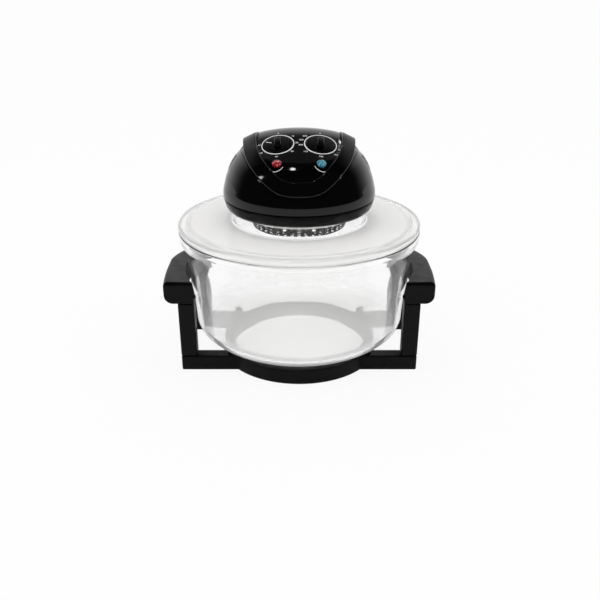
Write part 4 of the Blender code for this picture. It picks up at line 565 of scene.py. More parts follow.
def grip_points(sx):
    """The grip seen from above: its bowed outer side, then its inner side round the bowl."""
    outer = []
    for share in shares(GRIP_STEPS):
        bow = 1 - (1 - share) ** 2
        outer.append((GRIP_FRONT_X + (GRIP_MIDDLE_X - GRIP_FRONT_X) * bow,
                      -GRIP_END_Y * (1 - share)))
    for share in shares(GRIP_STEPS)[1:]:
        y = GRIP_END_Y * share
        late = max(y - GRIP_BEND_Y, 0) / (GRIP_END_Y - GRIP_BEND_Y)
        outer.append((GRIP_MIDDLE_X + (GRIP_REAR_X - GRIP_MIDDLE_X) * late ** GRIP_REAR_POWER, y))
    reach = asin(GRIP_END_Y / GRIP_INNER)
    angles = [reach * (1 - 2 * share) for share in shares(GRIP_ARC_STEPS)]
    inner = [(GRIP_INNER * cos(a), GRIP_INNER * sin(a)) for a in angles]
    return [(sx * x, y, GRIP_LOW_Z) for x, y in outer + inner]


def round_grip_edges(grip, level, width, segments):
    """Round the outer edges of a grip at one level, and not the inner ones round the bowl."""
    bpy.ops.mesh.select_all(action="DESELECT")
    bpy.ops.mesh.select_mode(type="EDGE")
    shape = bmesh.from_edit_mesh(grip.data)
    for edge in shape.edges:
        flat = all(abs(v.co.z - level) < MERGE_REACH for v in edge.verts)
        middle = (edge.verts[0].co + edge.verts[1].co) / 2
        outside = hypot(middle.x, middle.y) > GRIP_INNER + GRIP_INNER_MARGIN
        outer_only = level == GRIP_TOP_Z or abs(middle.x) > BAR_LENGTH / 2
        edge.select_set(flat and outside and outer_only)
    bmesh.update_edit_mesh(grip.data)
    bpy.ops.mesh.bevel(offset=width, segments=segments, affect="EDGES")


for side, sx in SIDES:
    grip = slab("side_grip_" + side, grip_points(sx), (0, 0, GRIP_TOP_Z - GRIP_LOW_Z))
    bpy.ops.object.mode_set(mode="EDIT")
    round_grip_edges(grip, GRIP_LOW_Z, GRIP_ROUND_LOW, 8)
    round_grip_edges(grip, GRIP_TOP_Z, GRIP_ROUND_TOP, 5)
    bpy.ops.object.mode_set(mode="OBJECT")
    low_x, high_x = tenon_span(sx, FIT_GAP)
    half = BAR_DEPTH / 2 - TENON_OUTER_INSET + FIT_GAP
    cut(grip, gathered("sockets", [
        block("socket", (low_x, sy * BAR_Y - half, GRIP_LOW_Z - OVERRUN),
              (high_x, sy * BAR_Y + half, GRIP_LOW_Z + SOCKET_DEPTH)) for sy in (-1, 1)]))
    stops = []
    for sy in (-1, 1):
        angle = asin(sy * BAR_Y / GRIP_INNER)
        way = Vector((sx * cos(angle), sin(angle), 0))
        turn = way.to_track_quat("Z", "Y").to_matrix().to_4x4()
        place = Matrix.Translation(way * GRIP_INNER + Vector((0, 0, STOP_Z))) @ turn
        stops.append(rod("stop", STOP_RADIUS, -STOP_REACH, STOP_ROOT, place, 32, STOP_ROUND))
    join(grip, gathered("stops", stops))
    pick(grip)
    smooth(32)
    fit(grip, "stand", "satin_black", satin_black, "grip_" + side)


# Stand screws
# Long zinc-plated steel screws run from under the bar ends up through the posts into the grips.
ZINC_LIGHT = (0.66, 0.66, 0.63)
ZINC_DARK = (0.50, 0.50, 0.50)


def refinish(material, *nodes):
    """Give nodes whose shape is right a better finish."""
    for node in nodes:
        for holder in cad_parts[node].material_slots:
            holder.material = material


zinc = finish("zinc_plated_steel", ZINC_LIGHT, ZINC_DARK, (0.26, 0.42), 0.0009, 0.00001,
              metallic=1.0, drift=0.006)
refinish(zinc, "stand_screw_front_left", "stand_screw_front_right", "stand_screw_rear_left",
         "stand_screw_rear_right")


# Glass bowl
# A deep round bowl of pressed clear glass, about 4.5 mm thick, with a flared rim that the lid
# sits on.  It isn't fixed: it lifts straight out of the stand.
BOWL_GLASS = 0.0045
BOWL_RIM_ROUND = 0.0018
BOWL_RIM_BAND = 0.0060
# Painted reflection of the white room in the bowl: strong near its floor, fading out higher up.
BOWL_PAINTED_REFLECTION = ("height", 0.0300, 0.0750, 0.38, 0.02)
GLASS_TINT = (0.997, 0.999, 0.998)
PAINTED_REFLECTION_WHITE = (0.99, 0.985, 0.98, 1)
GLASS_BEND = 1.47
PAINTED_REFLECTION_BEHIND_SHARE = 0.35
PAINTED_REFLECTION_MIRROR_LOSS = 0.85


def offset(points, distance):
    """The same line moved sideways, as the other face of a wall."""
    moved = []
    for index, (x, z) in enumerate(points):
        before = Vector(points[max(index - 1, 0)])
        after = Vector(points[min(index + 1, len(points) - 1)])
        run = (after - before).normalized()
        moved.append((x - run.y * distance, z + run.x * distance))
    return moved


def see_through(made, share, bend):
    """Let a share of the light through a finish, bent on its way."""
    shader = made.node_tree.nodes["Principled BSDF"]
    shader.inputs["Transmission Weight"].default_value = share
    shader.inputs["IOR"].default_value = bend
    return made


def clear_glass(name, *bands):
    """Pressed glass: clear and slightly wavy, with a matt white layer that is painted reflection of
    the white room.  Each band says how that painted reflection changes along one measure: (measure,
    from, to, share at the first, share at the second)."""
    made = see_through(finish(name, GLASS_TINT, GLASS_TINT, (0.0, 0.004), 0.030, 0.0000015,
                              drift=0.05), 1, GLASS_BEND)
    tree = made.node_tree
    # A white matt layer mixed into the clear glass: painted reflection of the white room.
    front = added(tree, "BsdfDiffuse", Color=PAINTED_REFLECTION_WHITE)
    behind = added(tree, "BsdfTranslucent", Color=PAINTED_REFLECTION_WHITE)
    painted_reflection = mixed(tree, PAINTED_REFLECTION_BEHIND_SHARE, front.outputs["BSDF"], behind.outputs["BSDF"])
    where = axes(tree, "Object")
    squares = [worked_out(tree, "MULTIPLY", where[axis], where[axis]) for axis in "XY"]
    radius = worked_out(tree, "SQRT", worked_out(tree, "ADD", *squares))
    measures = {"height": where["Z"], "radius": radius}
    # Where the glass is seen in a mirror, most of the painted reflection is left out.
    path = added(tree, "LightPath")
    mirrored = worked_out(tree, "GREATER_THAN", path.outputs["Glossy Depth"], FIRST_BOUNCE)
    lost = worked_out(tree, "MULTIPLY", mirrored, PAINTED_REFLECTION_MIRROR_LOSS)
    share = worked_out(tree, "SUBTRACT", 1, lost)
    for measure, *band in bands:
        share = worked_out(tree, "MULTIPLY", share, faded(tree, measures[measure], *band))
    lit = mixed(tree, share, tree.nodes["Principled BSDF"].outputs["BSDF"], painted_reflection)
    clear = added(tree, "BsdfTransparent").outputs["BSDF"]
    feed(tree, mixed(tree, path.outputs["Is Shadow Ray"], lit, clear),
         tree.nodes["Material Output"].inputs["Surface"])
    return made


outer = bowl_side(60)
inner = offset(outer, BOWL_GLASS)
inner[0] = (0, BOWL_FLOOR_Z + BOWL_GLASS)
rim_outer = outer[-1][0]
rim_inner = rim_outer - BOWL_GLASS
band_low = BOWL_RIM_Z - BOWL_RIM_BAND
rim = rounded([(rim_inner, band_low, 0), (rim_inner, BOWL_RIM_Z, BOWL_RIM_ROUND),
               (rim_outer, BOWL_RIM_Z, BOWL_RIM_ROUND), (rim_outer, band_low, 0)], 6)
bowl = turned("bowl_of_clear_glass", inner[:-1] + rim[1:-1] + outer[-2::-1], steps=192,
              smooth_deg=60)
fit(bowl, "bowl", "bowl_glass", clear_glass("pressed_bowl_glass", BOWL_PAINTED_REFLECTION), "glass_bowl")


# Glass lid
# A pressed glass lid with a thick beaded rim and a low round neck in its middle.  The motor
# head stands on the neck, and a short skirt under the rim keeps the lid from sliding off.
LID_RADIUS = 0.1700
LID_LOW_Z = 0.1973
LID_BEAD_TOP_Z = 0.2053
LID_BEAD_INNER = 0.1590
LID_TOP_Z = 0.2062
LID_GLASS = 0.0040
LID_SKIRT_RADIUS = 0.1595
LID_SKIRT_Z = 0.1933
NECK_RADIUS = 0.0936
NECK_TOP_Z = 0.2286
NECK_FLANGE = 0.0805
BEAD_FOOT = 0.0020
BEAD_SLOPE = 0.0012
SKIRT_TAPER = 0.0005
# Painted reflection of the white room in the lid: little at the neck, most on the flat top, less on
# the rim.
NECK_PAINTED_REFLECTION = ("radius", 0.0935, 0.0975, 0.02, 0.78)
RIM_PAINTED_REFLECTION = ("radius", 0.1480, 0.1590, 1.00, 0.42)
under = LID_TOP_Z - LID_GLASS
skirt_inner = LID_SKIRT_RADIUS - LID_GLASS
neck_inner = NECK_RADIUS - LID_GLASS
lid_corners = [  # radius, height, rounding
    (NECK_FLANGE, NECK_TOP_Z, 0.0010), (NECK_RADIUS, NECK_TOP_Z, 0.0020),
    (NECK_RADIUS, LID_TOP_Z, 0.0040), (LID_BEAD_INNER - BEAD_FOOT, LID_TOP_Z, 0.0015),
    (LID_BEAD_INNER, LID_TOP_Z - BEAD_SLOPE, 0.0010),
    (LID_BEAD_INNER + BEAD_SLOPE, LID_BEAD_TOP_Z, 0.0010),
    (LID_RADIUS, LID_BEAD_TOP_Z, 0.0036), (LID_RADIUS, LID_LOW_Z, 0.0014),
    (LID_SKIRT_RADIUS, LID_LOW_Z, 0.0006),
    (LID_SKIRT_RADIUS - SKIRT_TAPER, LID_SKIRT_Z, 0.0012),
    (skirt_inner, LID_SKIRT_Z, 0.0012), (skirt_inner - BEAD_FOOT, under, 0.0040),
    (neck_inner, under, 0.0060), (neck_inner, NECK_TOP_Z - LID_GLASS, 0.0015),
    (NECK_FLANGE, NECK_TOP_Z - LID_GLASS, 0.0010),
]
lid = turned("lid_of_clear_glass", rounded(lid_corners, 6, closed=True), steps=192, closed=True,
             smooth_deg=60)
fit(lid, "lid", "lid_glass", clear_glass("pressed_lid_glass", NECK_PAINTED_REFLECTION, RIM_PAINTED_REFLECTION), "lid_glass")


# Gasket
# A flat ring of grey silicone lies on the glass neck and cushions the head.
silicone = finish("grey_silicone", (0.36, 0.35, 0.34), (0.28, 0.27, 0.26), (0.55, 0.72), 0.0010,
                  0.00002)
refinish(silicone, "lid_gasket")


# Lower housing
# The head's lower part is a dish of gloss black plastic.  It carries the motor and heater, its
# skirt hides the top of the glass neck, and a collar inside locates the dome.
GLOSS_LIGHT = (0.0012, 0.0011, 0.0014)
GLOSS_DARK = (0.0008, 0.0007, 0.0009)
HOUSING_RADIUS = 0.1050
HOUSING_EDGE_RADIUS = 0.10253
HOUSING_EDGE_Z = 0.22837
HOUSING_SHOULDER_Z = 0.2396
HOUSING_LOW_Z = 0.2240
HOUSING_LOW_RADIUS = 0.0985
SKIRT_INNER = 0.0953
COLLAR_RADIUS = 0.1019
COLLAR_INNER = 0.0989
COLLAR_TOP_Z = 0.2454
FLOOR_LOW_Z = 0.2307
FLOOR_TOP_Z = 0.2332
FLOOR_BORE = 0.0300
FLOOR_CUT = (0.2200, 0.2400)
FLOOR_HOLES = ((-0.0703, 0, 0.0021), (0.0703, 0, 0.0021), (0.0285, -0.0541, 0.0020),
               (-0.0250, -0.0160, 0.0018), (0.0250, 0.0160, 0.0018))
POST_RING = 0.0700
POST_DEGREES = (45.0, 135.0, 270.0)
POST_SCREW_BORE = 0.0018
gloss_black = finish("gloss_black_plastic", GLOSS_LIGHT, GLOSS_DARK, (0.045, 0.085), 0.0060,
                     0.000012, specular=0.32)
heat_proof_black = finish("heat_proof_black_plastic", GLOSS_LIGHT, GLOSS_DARK, (0.05, 0.10),
                          0.0060, 0.000012, specular=0.13)
lower_corners = [
    (COLLAR_INNER, COLLAR_TOP_Z, 0.0005), (COLLAR_RADIUS, COLLAR_TOP_Z, 0.0005),
    (COLLAR_RADIUS, HOUSING_SHOULDER_Z, 0.0002), (HOUSING_RADIUS, HOUSING_SHOULDER_Z, 0.0008),
    (HOUSING_EDGE_RADIUS, HOUSING_EDGE_Z, 0.0120), (HOUSING_LOW_RADIUS, HOUSING_LOW_Z, 0.0009),
    (SKIRT_INNER, HOUSING_LOW_Z, 0.0007), (SKIRT_INNER, FLOOR_LOW_Z, 0.0004),
    (FLOOR_BORE, FLOOR_LOW_Z, 0.0004), (FLOOR_BORE, FLOOR_TOP_Z, 0.0004),
    (COLLAR_INNER, FLOOR_TOP_Z, 0.0006),
]
lower = turned("lower_head_moulding", rounded(lower_corners, 6, closed=True), steps=192,
               closed=True)
post_places = [turned_by(radians(angle)) @ at(POST_RING) for angle in POST_DEGREES]
holes = [rod("hole", POST_SCREW_BORE, *FLOOR_CUT, place, 24) for place in post_places]
holes += [rod("hole", radius, *FLOOR_CUT, at(x, y), 24) for x, y, radius in FLOOR_HOLES]
cut(lower, gathered("floor_holes", holes))
fit(lower, "lid", "gloss_black", heat_proof_black, "lower_housing")


# Dome and control cap
# The upper part of the head is moulded in two shells of gloss black plastic that meet at a fine
# seam: the dome with the air slots, and over its front and top the cap that carries the dials.
DOME_BASE_Z = 0.2414
DOME_RADIUS = 0.1056
DOME_APEX_Z = 0.3360
SHELL_WALL = 0.0034
DOME_SHARES = (
    (0.150, 0.997), (0.300, 0.985), (0.440, 0.953), (0.540, 0.908), (0.620, 0.847),
    (0.682, 0.770), (0.729, 0.693), (0.780, 0.620), (0.848, 0.534), (0.896, 0.445),
    (0.928, 0.355), (0.956, 0.271), (0.979, 0.175), (0.996, 0.091), (1.000, 0.000))
CREST_Z = 0.3297
CREST_Y = 0.0078
CREST_RADIUS = 0.0650
CROSS_RADIUS = 0.2500
FACE_SLOPE = tan(radians(21.8))
FACE_BLEND = 0.0080
SEAM_TOP_Z = 0.3035
SEAM_FRONT_Z = 0.2630
SEAM_FRONT_Y = 0.1040
SEAM_POWER = 2.5
SEAM_REACH = 0.1106
SEAM_STEPS = 36
SEAM_GAP = 0.0008
HEAD_ROOM_Z = 0.3420
PIVOT_X = 0.0650
PIVOT_Z = 0.3145
PIN_NEAR_X = 0.05065
PIN_BORE = 0.0026
EYE_RADIUS = 0.0145
EYE_HALF = 0.0095
POCKET_RADIUS = 0.0158
POCKET_WALL = 0.0030
POCKET_NEAR_X = 0.0549
BOSS_NEAR_X = 0.0494
BOSS_FAR_X = 0.0751
BOSS_ROOM_X = 0.0757
POST_RADIUS = 0.0045
POST_ROOM = 0.0048
POST_LOW_Z = 0.2335
POST_BORE_Z = (0.2282, 0.2472)
SLOT_ROWS = [0.0090 * index - 0.0120 for index in range(6)]
SLOT_HALF = 0.0023
SLOT_ROUND = 0.0021
SLOT_X = (0.0300, 0.1120)
SLOT_Z = (0.2770, 0.2970)
INLET_ROOM = ((-0.0140, 0.0826, 0.2457), (0.0140, 0.1106, 0.2653))
DIAL_X = 0.0280
DIAL_Y = -0.0340
DIAL_SEAT_RADIUS = 0.0220
DIAL_SEAT_DEPTH = 0.0014
SPINDLE_BORE = 0.0036
SPINDLE_BORE_DEPTH = 0.0075
LAMP_X = 0.0285
LAMP_Y = -0.0735
LAMP_BORE = 0.0059
LAMP_BORE_DEPTH = 0.0160
PLUNGER_X = 0.0620
PLUNGER_Y = -0.0218
PLUNGER_BORE = 0.0023
FACE_OVERRUN = 0.0050
ACROSS = Matrix.Rotation(pi / 2, 4, "Y")


def dome_points(depth=0.0):
    """The dome's outline from its top to its base, or its inner face at a depth."""
    way = DOME_APEX_Z - DOME_BASE_Z
    coarse = [(0, DOME_APEX_Z)] + [(DOME_RADIUS * r, DOME_BASE_Z + way * z) for r, z in DOME_SHARES]
    fine = smooth_line(coarse, 5)
    if not depth:
        return fine
    inside = offset(fine, -depth)
    inside[0] = (0, DOME_APEX_Z - depth)
    inside[-1] = (DOME_RADIUS - depth, DOME_BASE_Z)
    return inside


DOME_LINE = dome_points()


def dome_height(radius):
    """Height of the dome's outside at a radius."""
    for (r0, z0), (r1, z1) in zip(DOME_LINE, DOME_LINE[1:]):
        if r0 <= radius < r1:
            return z0 + (z1 - z0) * (radius - r0) / (r1 - r0)
    return DOME_BASE_Z


def face_height(x, y):
    """Height of the cap's gently crowned face, which slopes down to the front and the back."""
    bend = CREST_RADIUS * FACE_SLOPE
    reach = abs(y - CREST_Y)
    drop = min(reach, bend) ** 2 / (2 * CREST_RADIUS) + max(reach - bend, 0) * FACE_SLOPE
    return CREST_Z - drop - x * x / (2 * CROSS_RADIUS)


def lower_of(a, b):
    """The lower of two heights, with a soft passage where they cross."""
    near = max(FACE_BLEND - abs(a - b), 0) / FACE_BLEND
    return min(a, b) - near * near * FACE_BLEND / 4


def head_height(x, y):
    """Height of the head's outside: the dome, pressed down to the cap's face."""
    return lower_of(dome_height(hypot(x, y)), face_height(x, y))


def face_place(x, y):
    """A place on the cap's face, with its Z axis square to the face and Y up the slope."""
    slope_x = -x / CROSS_RADIUS
    out = Vector((-slope_x, -FACE_SLOPE, 1)).normalized()
    across = Vector((1, 0, slope_x)).normalized()
    turn = Matrix((across, out.cross(across), out)).transposed().to_4x4()
    return at(x, y, face_height(x, y)) @ turn


def head_shell(name, depth, outer_depth=0.0, solid=False):
    """The whole upper shell of the head, pressed down to the cap's face in front."""
    outside = dome_points(outer_depth)
    inside = [] if solid else dome_points(depth)
    outline = outside + ([(0, DOME_BASE_Z)] if solid else inside[::-1])
    piece = turned(name, outline, steps=216, smooth_deg=40)
    for point in piece.data.vertices:
        x, y, z = point.co
        is_outer = z > dome_height(hypot(x, y)) - (outer_depth + depth) / 2
        point.co.z = lower_of(z, face_height(x, y) - (outer_depth if is_outer else depth))
    return piece


def above_seam(name, rise):
    """A block whose underside runs along the seam."""
    line = []
    for share in shares(SEAM_STEPS):
        y = -SEAM_REACH * (1 - share)
        drop = (abs(y) / SEAM_FRONT_Y) ** SEAM_POWER
        line.append((y, SEAM_TOP_Z - (SEAM_TOP_Z - SEAM_FRONT_Z) * drop + rise))
    line += [(SEAM_REACH, SEAM_TOP_Z + rise), (SEAM_REACH, HEAD_ROOM_Z),
             (-SEAM_REACH, HEAD_ROOM_Z)]
    return slab(name, [(-SEAM_REACH, y, z) for y, z in line], (2 * SEAM_REACH, 0, 0))


def side_rod(name, radius, near, far, sx, place, steps):
    """A rod on one side of a line that runs across the oven."""
    return rod(name, radius, *sorted((sx * near, sx * far)), place, steps)


hub_line = at(0, 0, PIVOT_Z) @ ACROSS
dome = head_shell("dome_moulding", SHELL_WALL)
cut(dome, above_seam("seam_below", -SEAM_GAP / 2))
slots = []
for y in SLOT_ROWS:
    for sx in (-1, 1):
        low_x, high_x = sorted(sx * x for x in SLOT_X)
        slots.append(block("slot", (low_x, y - SLOT_HALF, SLOT_Z[0]),
                           (high_x, y + SLOT_HALF, SLOT_Z[1]), SLOT_ROUND))
cut(dome, gathered("air_slots", slots))
cut(dome, block("inlet_room", *INLET_ROOM),
    rod("hub_room", POCKET_RADIUS + POCKET_WALL + FIT_GAP, -BOSS_ROOM_X, BOSS_ROOM_X, hub_line, 64))
cut(dome, gathered("post_rooms", [rod("room", POST_ROOM, FLOOR_TOP_Z, SEAM_TOP_Z, place, 32)
                                  for place in post_places]))
smooth(40)
fit(dome, "lid", "gloss_black", gloss_black, "dome_housing")

cap = head_shell("control_cap_moulding", SHELL_WALL)
combine(cap, "INTERSECT", above_seam("seam_above", SEAM_GAP / 2))
bosses = [side_rod("boss", POCKET_RADIUS + POCKET_WALL, BOSS_NEAR_X, BOSS_FAR_X, sx, hub_line, 64)
          for sx in (-1, 1)]
bosses += [rod("boss", POST_RADIUS, POST_LOW_Z, DOME_APEX_Z, place, 32) for place in post_places]
join(cap, combine(gathered("bosses", bosses), "INTERSECT",
                  head_shell("head_solid", SHELL_WALL / 2, SHELL_WALL / 2, solid=True)))
pockets = []
bores = []
for sx in (-1, 1):
    pockets.append(side_rod("pocket", POCKET_RADIUS, POCKET_NEAR_X, DOME_RADIUS, sx, hub_line, 64))
    bores.append(side_rod("bore", PIN_BORE, PIN_NEAR_X, PIVOT_X, sx, hub_line, 24))
    dial = face_place(sx * DIAL_X, DIAL_Y)
    pockets.append(rod("pocket", DIAL_SEAT_RADIUS, -DIAL_SEAT_DEPTH, FACE_OVERRUN, dial, 96))
    bores.append(rod("bore", SPINDLE_BORE, -SPINDLE_BORE_DEPTH, FACE_OVERRUN, dial, 32))
    pockets.append(rod("pocket", LAMP_BORE, -LAMP_BORE_DEPTH, FACE_OVERRUN,
                       face_place(sx * LAMP_X, LAMP_Y), 48))
bores += [rod("bore", POST_SCREW_BORE, *POST_BORE_Z, place, 24) for place in post_places]
bores.append(rod("bore", PLUNGER_BORE, SEAM_TOP_Z, DOME_APEX_Z, at(PLUNGER_X, PLUNGER_Y), 24))
cut(cap, gathered("pockets", pockets), gathered("bores", bores))
smooth(40)
fit(cap, "lid", "gloss_black", gloss_black, "control_cap")
refinish(zinc, "housing_screw_1", "housing_screw_2", "housing_screw_3")


# Carry handle
# A gloss black strap that lies close round the front of the head and swings up over it on two
# hubs.  It is one moulding, with a round eye at each end.
STRAP_WIDTH = 0.0190
STRAP_THICKNESS = 0.0045
STRAP_STANDOFF = 0.0009
STRAP_ROUND_LOW = 0.0006
STRAP_ROUND_TOP = 0.0016
STRAP_FRONT_Y = 0.0988
STRAP_SQUARENESS = 2.35
STRAP_STATIONS = 121
SLOPE_STEP = 0.0012
HUB_RISE = 0.0018
HUB_SINK = 0.0024
HUB_SINK_REACH = 0.0110
EYE_ROUND = 0.0010
EYE_BORE = 0.0031
EYE_BORE_INNER = -0.0145
EYE_BORE_OUTER = 0.0003


def strap_station(share):
    """A place along the strap on the head, with the direction out of the head there."""
    angle = pi * share
    power = 2 / STRAP_SQUARENESS
    x = PIVOT_X * abs(cos(angle)) ** power * (1 if cos(angle) > 0 else -1)
    y = -STRAP_FRONT_Y * abs(sin(angle)) ** power
    rise_x = head_height(x + SLOPE_STEP, y) - head_height(x - SLOPE_STEP, y)
    rise_y = head_height(x, y + SLOPE_STEP) - head_height(x, y - SLOPE_STEP)
    out = Vector((-rise_x, -rise_y, 2 * SLOPE_STEP)).normalized()
    sink = HUB_SINK * max(1 + y / HUB_SINK_REACH, 0) ** 2
    return Vector((x, y, head_height(x, y))) - out * sink, out


def carry_strap():
    """The strap, lofted from one rounded section after another along the head."""
    half = STRAP_WIDTH / 2
    low = STRAP_STANDOFF
    top = STRAP_STANDOFF + STRAP_THICKNESS
    section = rounded([(-half, low, STRAP_ROUND_LOW), (half, low, STRAP_ROUND_LOW),
                       (half, top, STRAP_ROUND_TOP), (-half, top, STRAP_ROUND_TOP)], 5,
                      closed=True)
    places = [strap_station(share) for share in shares(STRAP_STATIONS - 1)]
    outs = [out for point, out in places]
    for _ in range(3):
        outs = [outs[0]] + [(a + b * 2 + c).normalized()
                            for a, b, c in zip(outs, outs[1:], outs[2:])] + [outs[-1]]
    shape = bmesh.new()
    rings = []
    for index, (point, out) in enumerate(places):
        before = places[max(index - 1, 0)][0]
        after = places[min(index + 1, STRAP_STATIONS - 1)][0]
        along = (after - before).normalized()
        if index in (0, STRAP_STATIONS - 1):
            along = Vector((0, -1 if index == 0 else 1, 0))
        side = along.cross(outs[index]).normalized()
        lift = side.cross(along).normalized()
        rings.append([shape.verts.new(point + side * a + lift * b) for a, b in section])
    for near, far in zip(rings, rings[1:]):
        for i in range(len(section)):
            j = (i + 1) % len(section)
            shape.faces.new((near[i], near[j], far[j], far[i]))
    shape.faces.new(rings[0])
    shape.faces.new(rings[-1][::-1])
    bmesh.ops.recalc_face_normals(shape, faces=shape.faces)
    mesh = bpy.data.meshes.new("carry_strap")
    shape.to_mesh(mesh)
    shape.free()
    piece = bpy.data.objects.new("carry_strap", mesh)
    bpy.context.collection.objects.link(piece)
    return piece


strap = carry_strap()
eyes = []
eye_bores = []
for sx in (-1, 1):
    place = at(sx * PIVOT_X, 0, PIVOT_Z) @ ACROSS
    eyes.append(rod("eye", EYE_RADIUS, -EYE_HALF, EYE_HALF, place, 72, EYE_ROUND))
    eye_bores.append(side_rod("eye_bore", EYE_BORE, EYE_BORE_INNER, EYE_BORE_OUTER, sx, place, 24))
eyes = combine(gathered("eyes", eyes), "INTERSECT",
               head_shell("eye_room", -HUB_RISE, -HUB_RISE, solid=True))
join(strap, eyes)
cut(strap, gathered("eye_bores", eye_bores))
smooth(40)
fit(strap, "handle", "gloss_black", gloss_black, "carry_handle")


# Handle pins
# Short bright steel pins on which the handle's eyes turn.
bright_steel = finish("bright_steel", (0.80, 0.79, 0.77), (0.66, 0.65, 0.64), (0.10, 0.22),
                      0.0004, 0.000004, metallic=1.0, stretch=(1, 1, 8), drift=0.010)
refinish(bright_steel, "pivot_pin_left", "pivot_pin_right")


# Dial rings
# A ring of white plastic is pressed into a shallow seat in the cap round each dial.
DIAL_RADIUS = 0.0217
DIAL_BAND = 0.0012
DIAL_RING_LOW = -0.0011
DIAL_RING_TOP = 0.0003
DIALS = (("timer", -1), ("thermostat", 1))
white_plastic = finish("white_plastic", (0.86, 0.86, 0.85), (0.78, 0.78, 0.77), (0.22, 0.34),
                       0.0006, 0.000006)
band_inner = DIAL_RADIUS - DIAL_BAND
ring_outline = rounded([(band_inner, DIAL_RING_LOW, 0.0002), (DIAL_RADIUS, DIAL_RING_LOW, 0.0002),
                        (DIAL_RADIUS, DIAL_RING_TOP, 0.0004), (band_inner, DIAL_RING_TOP, 0.0003)],
                       4, closed=True)
for dial_name, sx in DIALS:
    ring = turned(dial_name + "_ring", ring_outline, steps=96, closed=True)
    ring.data.transform(face_place(sx * DIAL_X, DIAL_Y))
    fit(ring, "lid", "white_plastic", white_plastic, dial_name + "_dial_ring")


# Printed scales
# Plain numbers stand round the two dials and a thin arc under each lamp.  They are printed on
# the cap in white ink.
NUMBER_SIZE = 0.0040
NUMBER_REACH = 0.0250
NUMBER_SPREAD = 0.0012
PRINT_LIFT = 0.00012
ARC_RADIUS = 0.0094
ARC_WIDTH = 0.0006
ARC_FROM_DEG = 207
ARC_TO_DEG = 325
ARC_STEPS = 24
TIMER_NUMBERS = (("0", 90), ("10", 39), ("20", 3), ("30", -41), ("40", -93), ("50", -149),
                 ("60", 169))
HEAT_NUMBERS = (("0", 90), ("65", -11), ("100", -41), ("150", -90), ("175", -139),
                ("200", -173), ("225", 163), ("250", 142))


def laid_on_face(piece, place):
    """Lay a flat drawn piece on the head, following its curve."""
    lifts = [point.co.z for point in piece.data.vertices]
    piece.data.transform(place)
    for point, lift in zip(piece.data.vertices, lifts):
        point.co.z = head_height(point.co.x, point.co.y) + lift
    return piece


def printed_number(words, place):
    """A number in plain figures, as thin as ink, laid on the head."""
    clear_selection()
    bpy.ops.object.text_add()
    figures = bpy.context.object.data
    figures.body = words
    figures.size = NUMBER_SIZE
    figures.extrude = PRINT_LIFT
    figures.resolution_u = 4
    figures.align_x = "CENTER"
    figures.align_y = "CENTER"
    bpy.ops.object.convert(target="MESH")
    mend(MERGE_REACH)
    return laid_on_face(bpy.context.object, place)


white_ink = finish("white_ink", (0.88, 0.88, 0.87), (0.78, 0.78, 0.77), (0.42, 0.55), 0.0003,
                   0.000004, drift=0.002)
marks = []
for sx, numbers in ((-1, TIMER_NUMBERS), (1, HEAT_NUMBERS)):
    for words, angle_deg in numbers:
        angle = radians(angle_deg)
        reach = NUMBER_REACH + NUMBER_SPREAD * max(len(words) - 2, 0) * abs(cos(angle))
        marks.append(printed_number(words, face_place(sx * DIAL_X + reach * cos(angle),
                                                      DIAL_Y + reach * sin(angle))))
    sweep = [radians(ARC_FROM_DEG + (ARC_TO_DEG - ARC_FROM_DEG) * share)
             for share in shares(ARC_STEPS)]
    line = [(ARC_RADIUS * cos(a), ARC_RADIUS * sin(a), -PRINT_LIFT) for a in sweep]
    far = ARC_RADIUS + ARC_WIDTH
    line += [(far * cos(a), far * sin(a), -PRINT_LIFT) for a in sweep[::-1]]
    marks.append(laid_on_face(slab("arc", line, (0, 0, 2 * PRINT_LIFT)),
                              at(sx * LAMP_X, LAMP_Y)))
fit(gathered("printed_scales", marks), "lid", "white_plastic", white_ink)


# Knobs
# Each knob is a low disc of black plastic with a short bar across it to turn it by, and presses
# onto a steel spindle.  The timer's disc has a white line printed on it as its pointer.
KNOB_RADIUS = 0.0190
KNOB_TOP = 0.0012
KNOB_LOW = -0.0008
KNOB_BORE = 0.0033
KNOB_BORE_TOP = 0.0047
BAR_HALF_WIDTH = 0.0045
BAR_HALF_LENGTH = 0.0095
BAR_TOP = 0.0060
BAR_EDGE_ROUND = 0.0012
POINTER_FROM = 0.0085
POINTER_TO = 0.0165
POINTER_HALF = 0.0005
POINTER_SINK = 0.0002
POINTER_DEG = 157
knob_black = finish("knob_black_plastic", (0.0012, 0.0011, 0.0013), (0.0008, 0.0007, 0.0009),
                    (0.12, 0.20), 0.0030, 0.00001, specular=0.20)
knob_outline = rounded([(0, KNOB_TOP, 0), (KNOB_RADIUS, KNOB_TOP, 0.0006),
                        (KNOB_RADIUS, KNOB_LOW, 0.0002), (0, KNOB_LOW, 0)], 5)
for dial_name, sx in DIALS:
    knob = turned(dial_name + "_turn_knob", knob_outline, steps=96)
    join(knob, block("bar", (-BAR_HALF_WIDTH, -BAR_HALF_LENGTH, KNOB_TOP / 2),
                     (BAR_HALF_WIDTH, BAR_HALF_LENGTH, BAR_TOP), BAR_EDGE_ROUND))
    cut(knob, rod("knob_bore", KNOB_BORE, KNOB_LOW - OVERRUN, KNOB_BORE_TOP, steps=32))
    knob.data.transform(face_place(sx * DIAL_X, DIAL_Y))
    smooth()
    fit(knob, dial_name + "_dial", "gloss_black", knob_black, dial_name + "_knob")
refinish(bright_steel, "timer_spindle", "thermostat_spindle")
pointer = block("timer_pointer", (POINTER_FROM, -POINTER_HALF, KNOB_TOP - POINTER_SINK),
                (POINTER_TO, POINTER_HALF, KNOB_TOP + PRINT_LIFT))
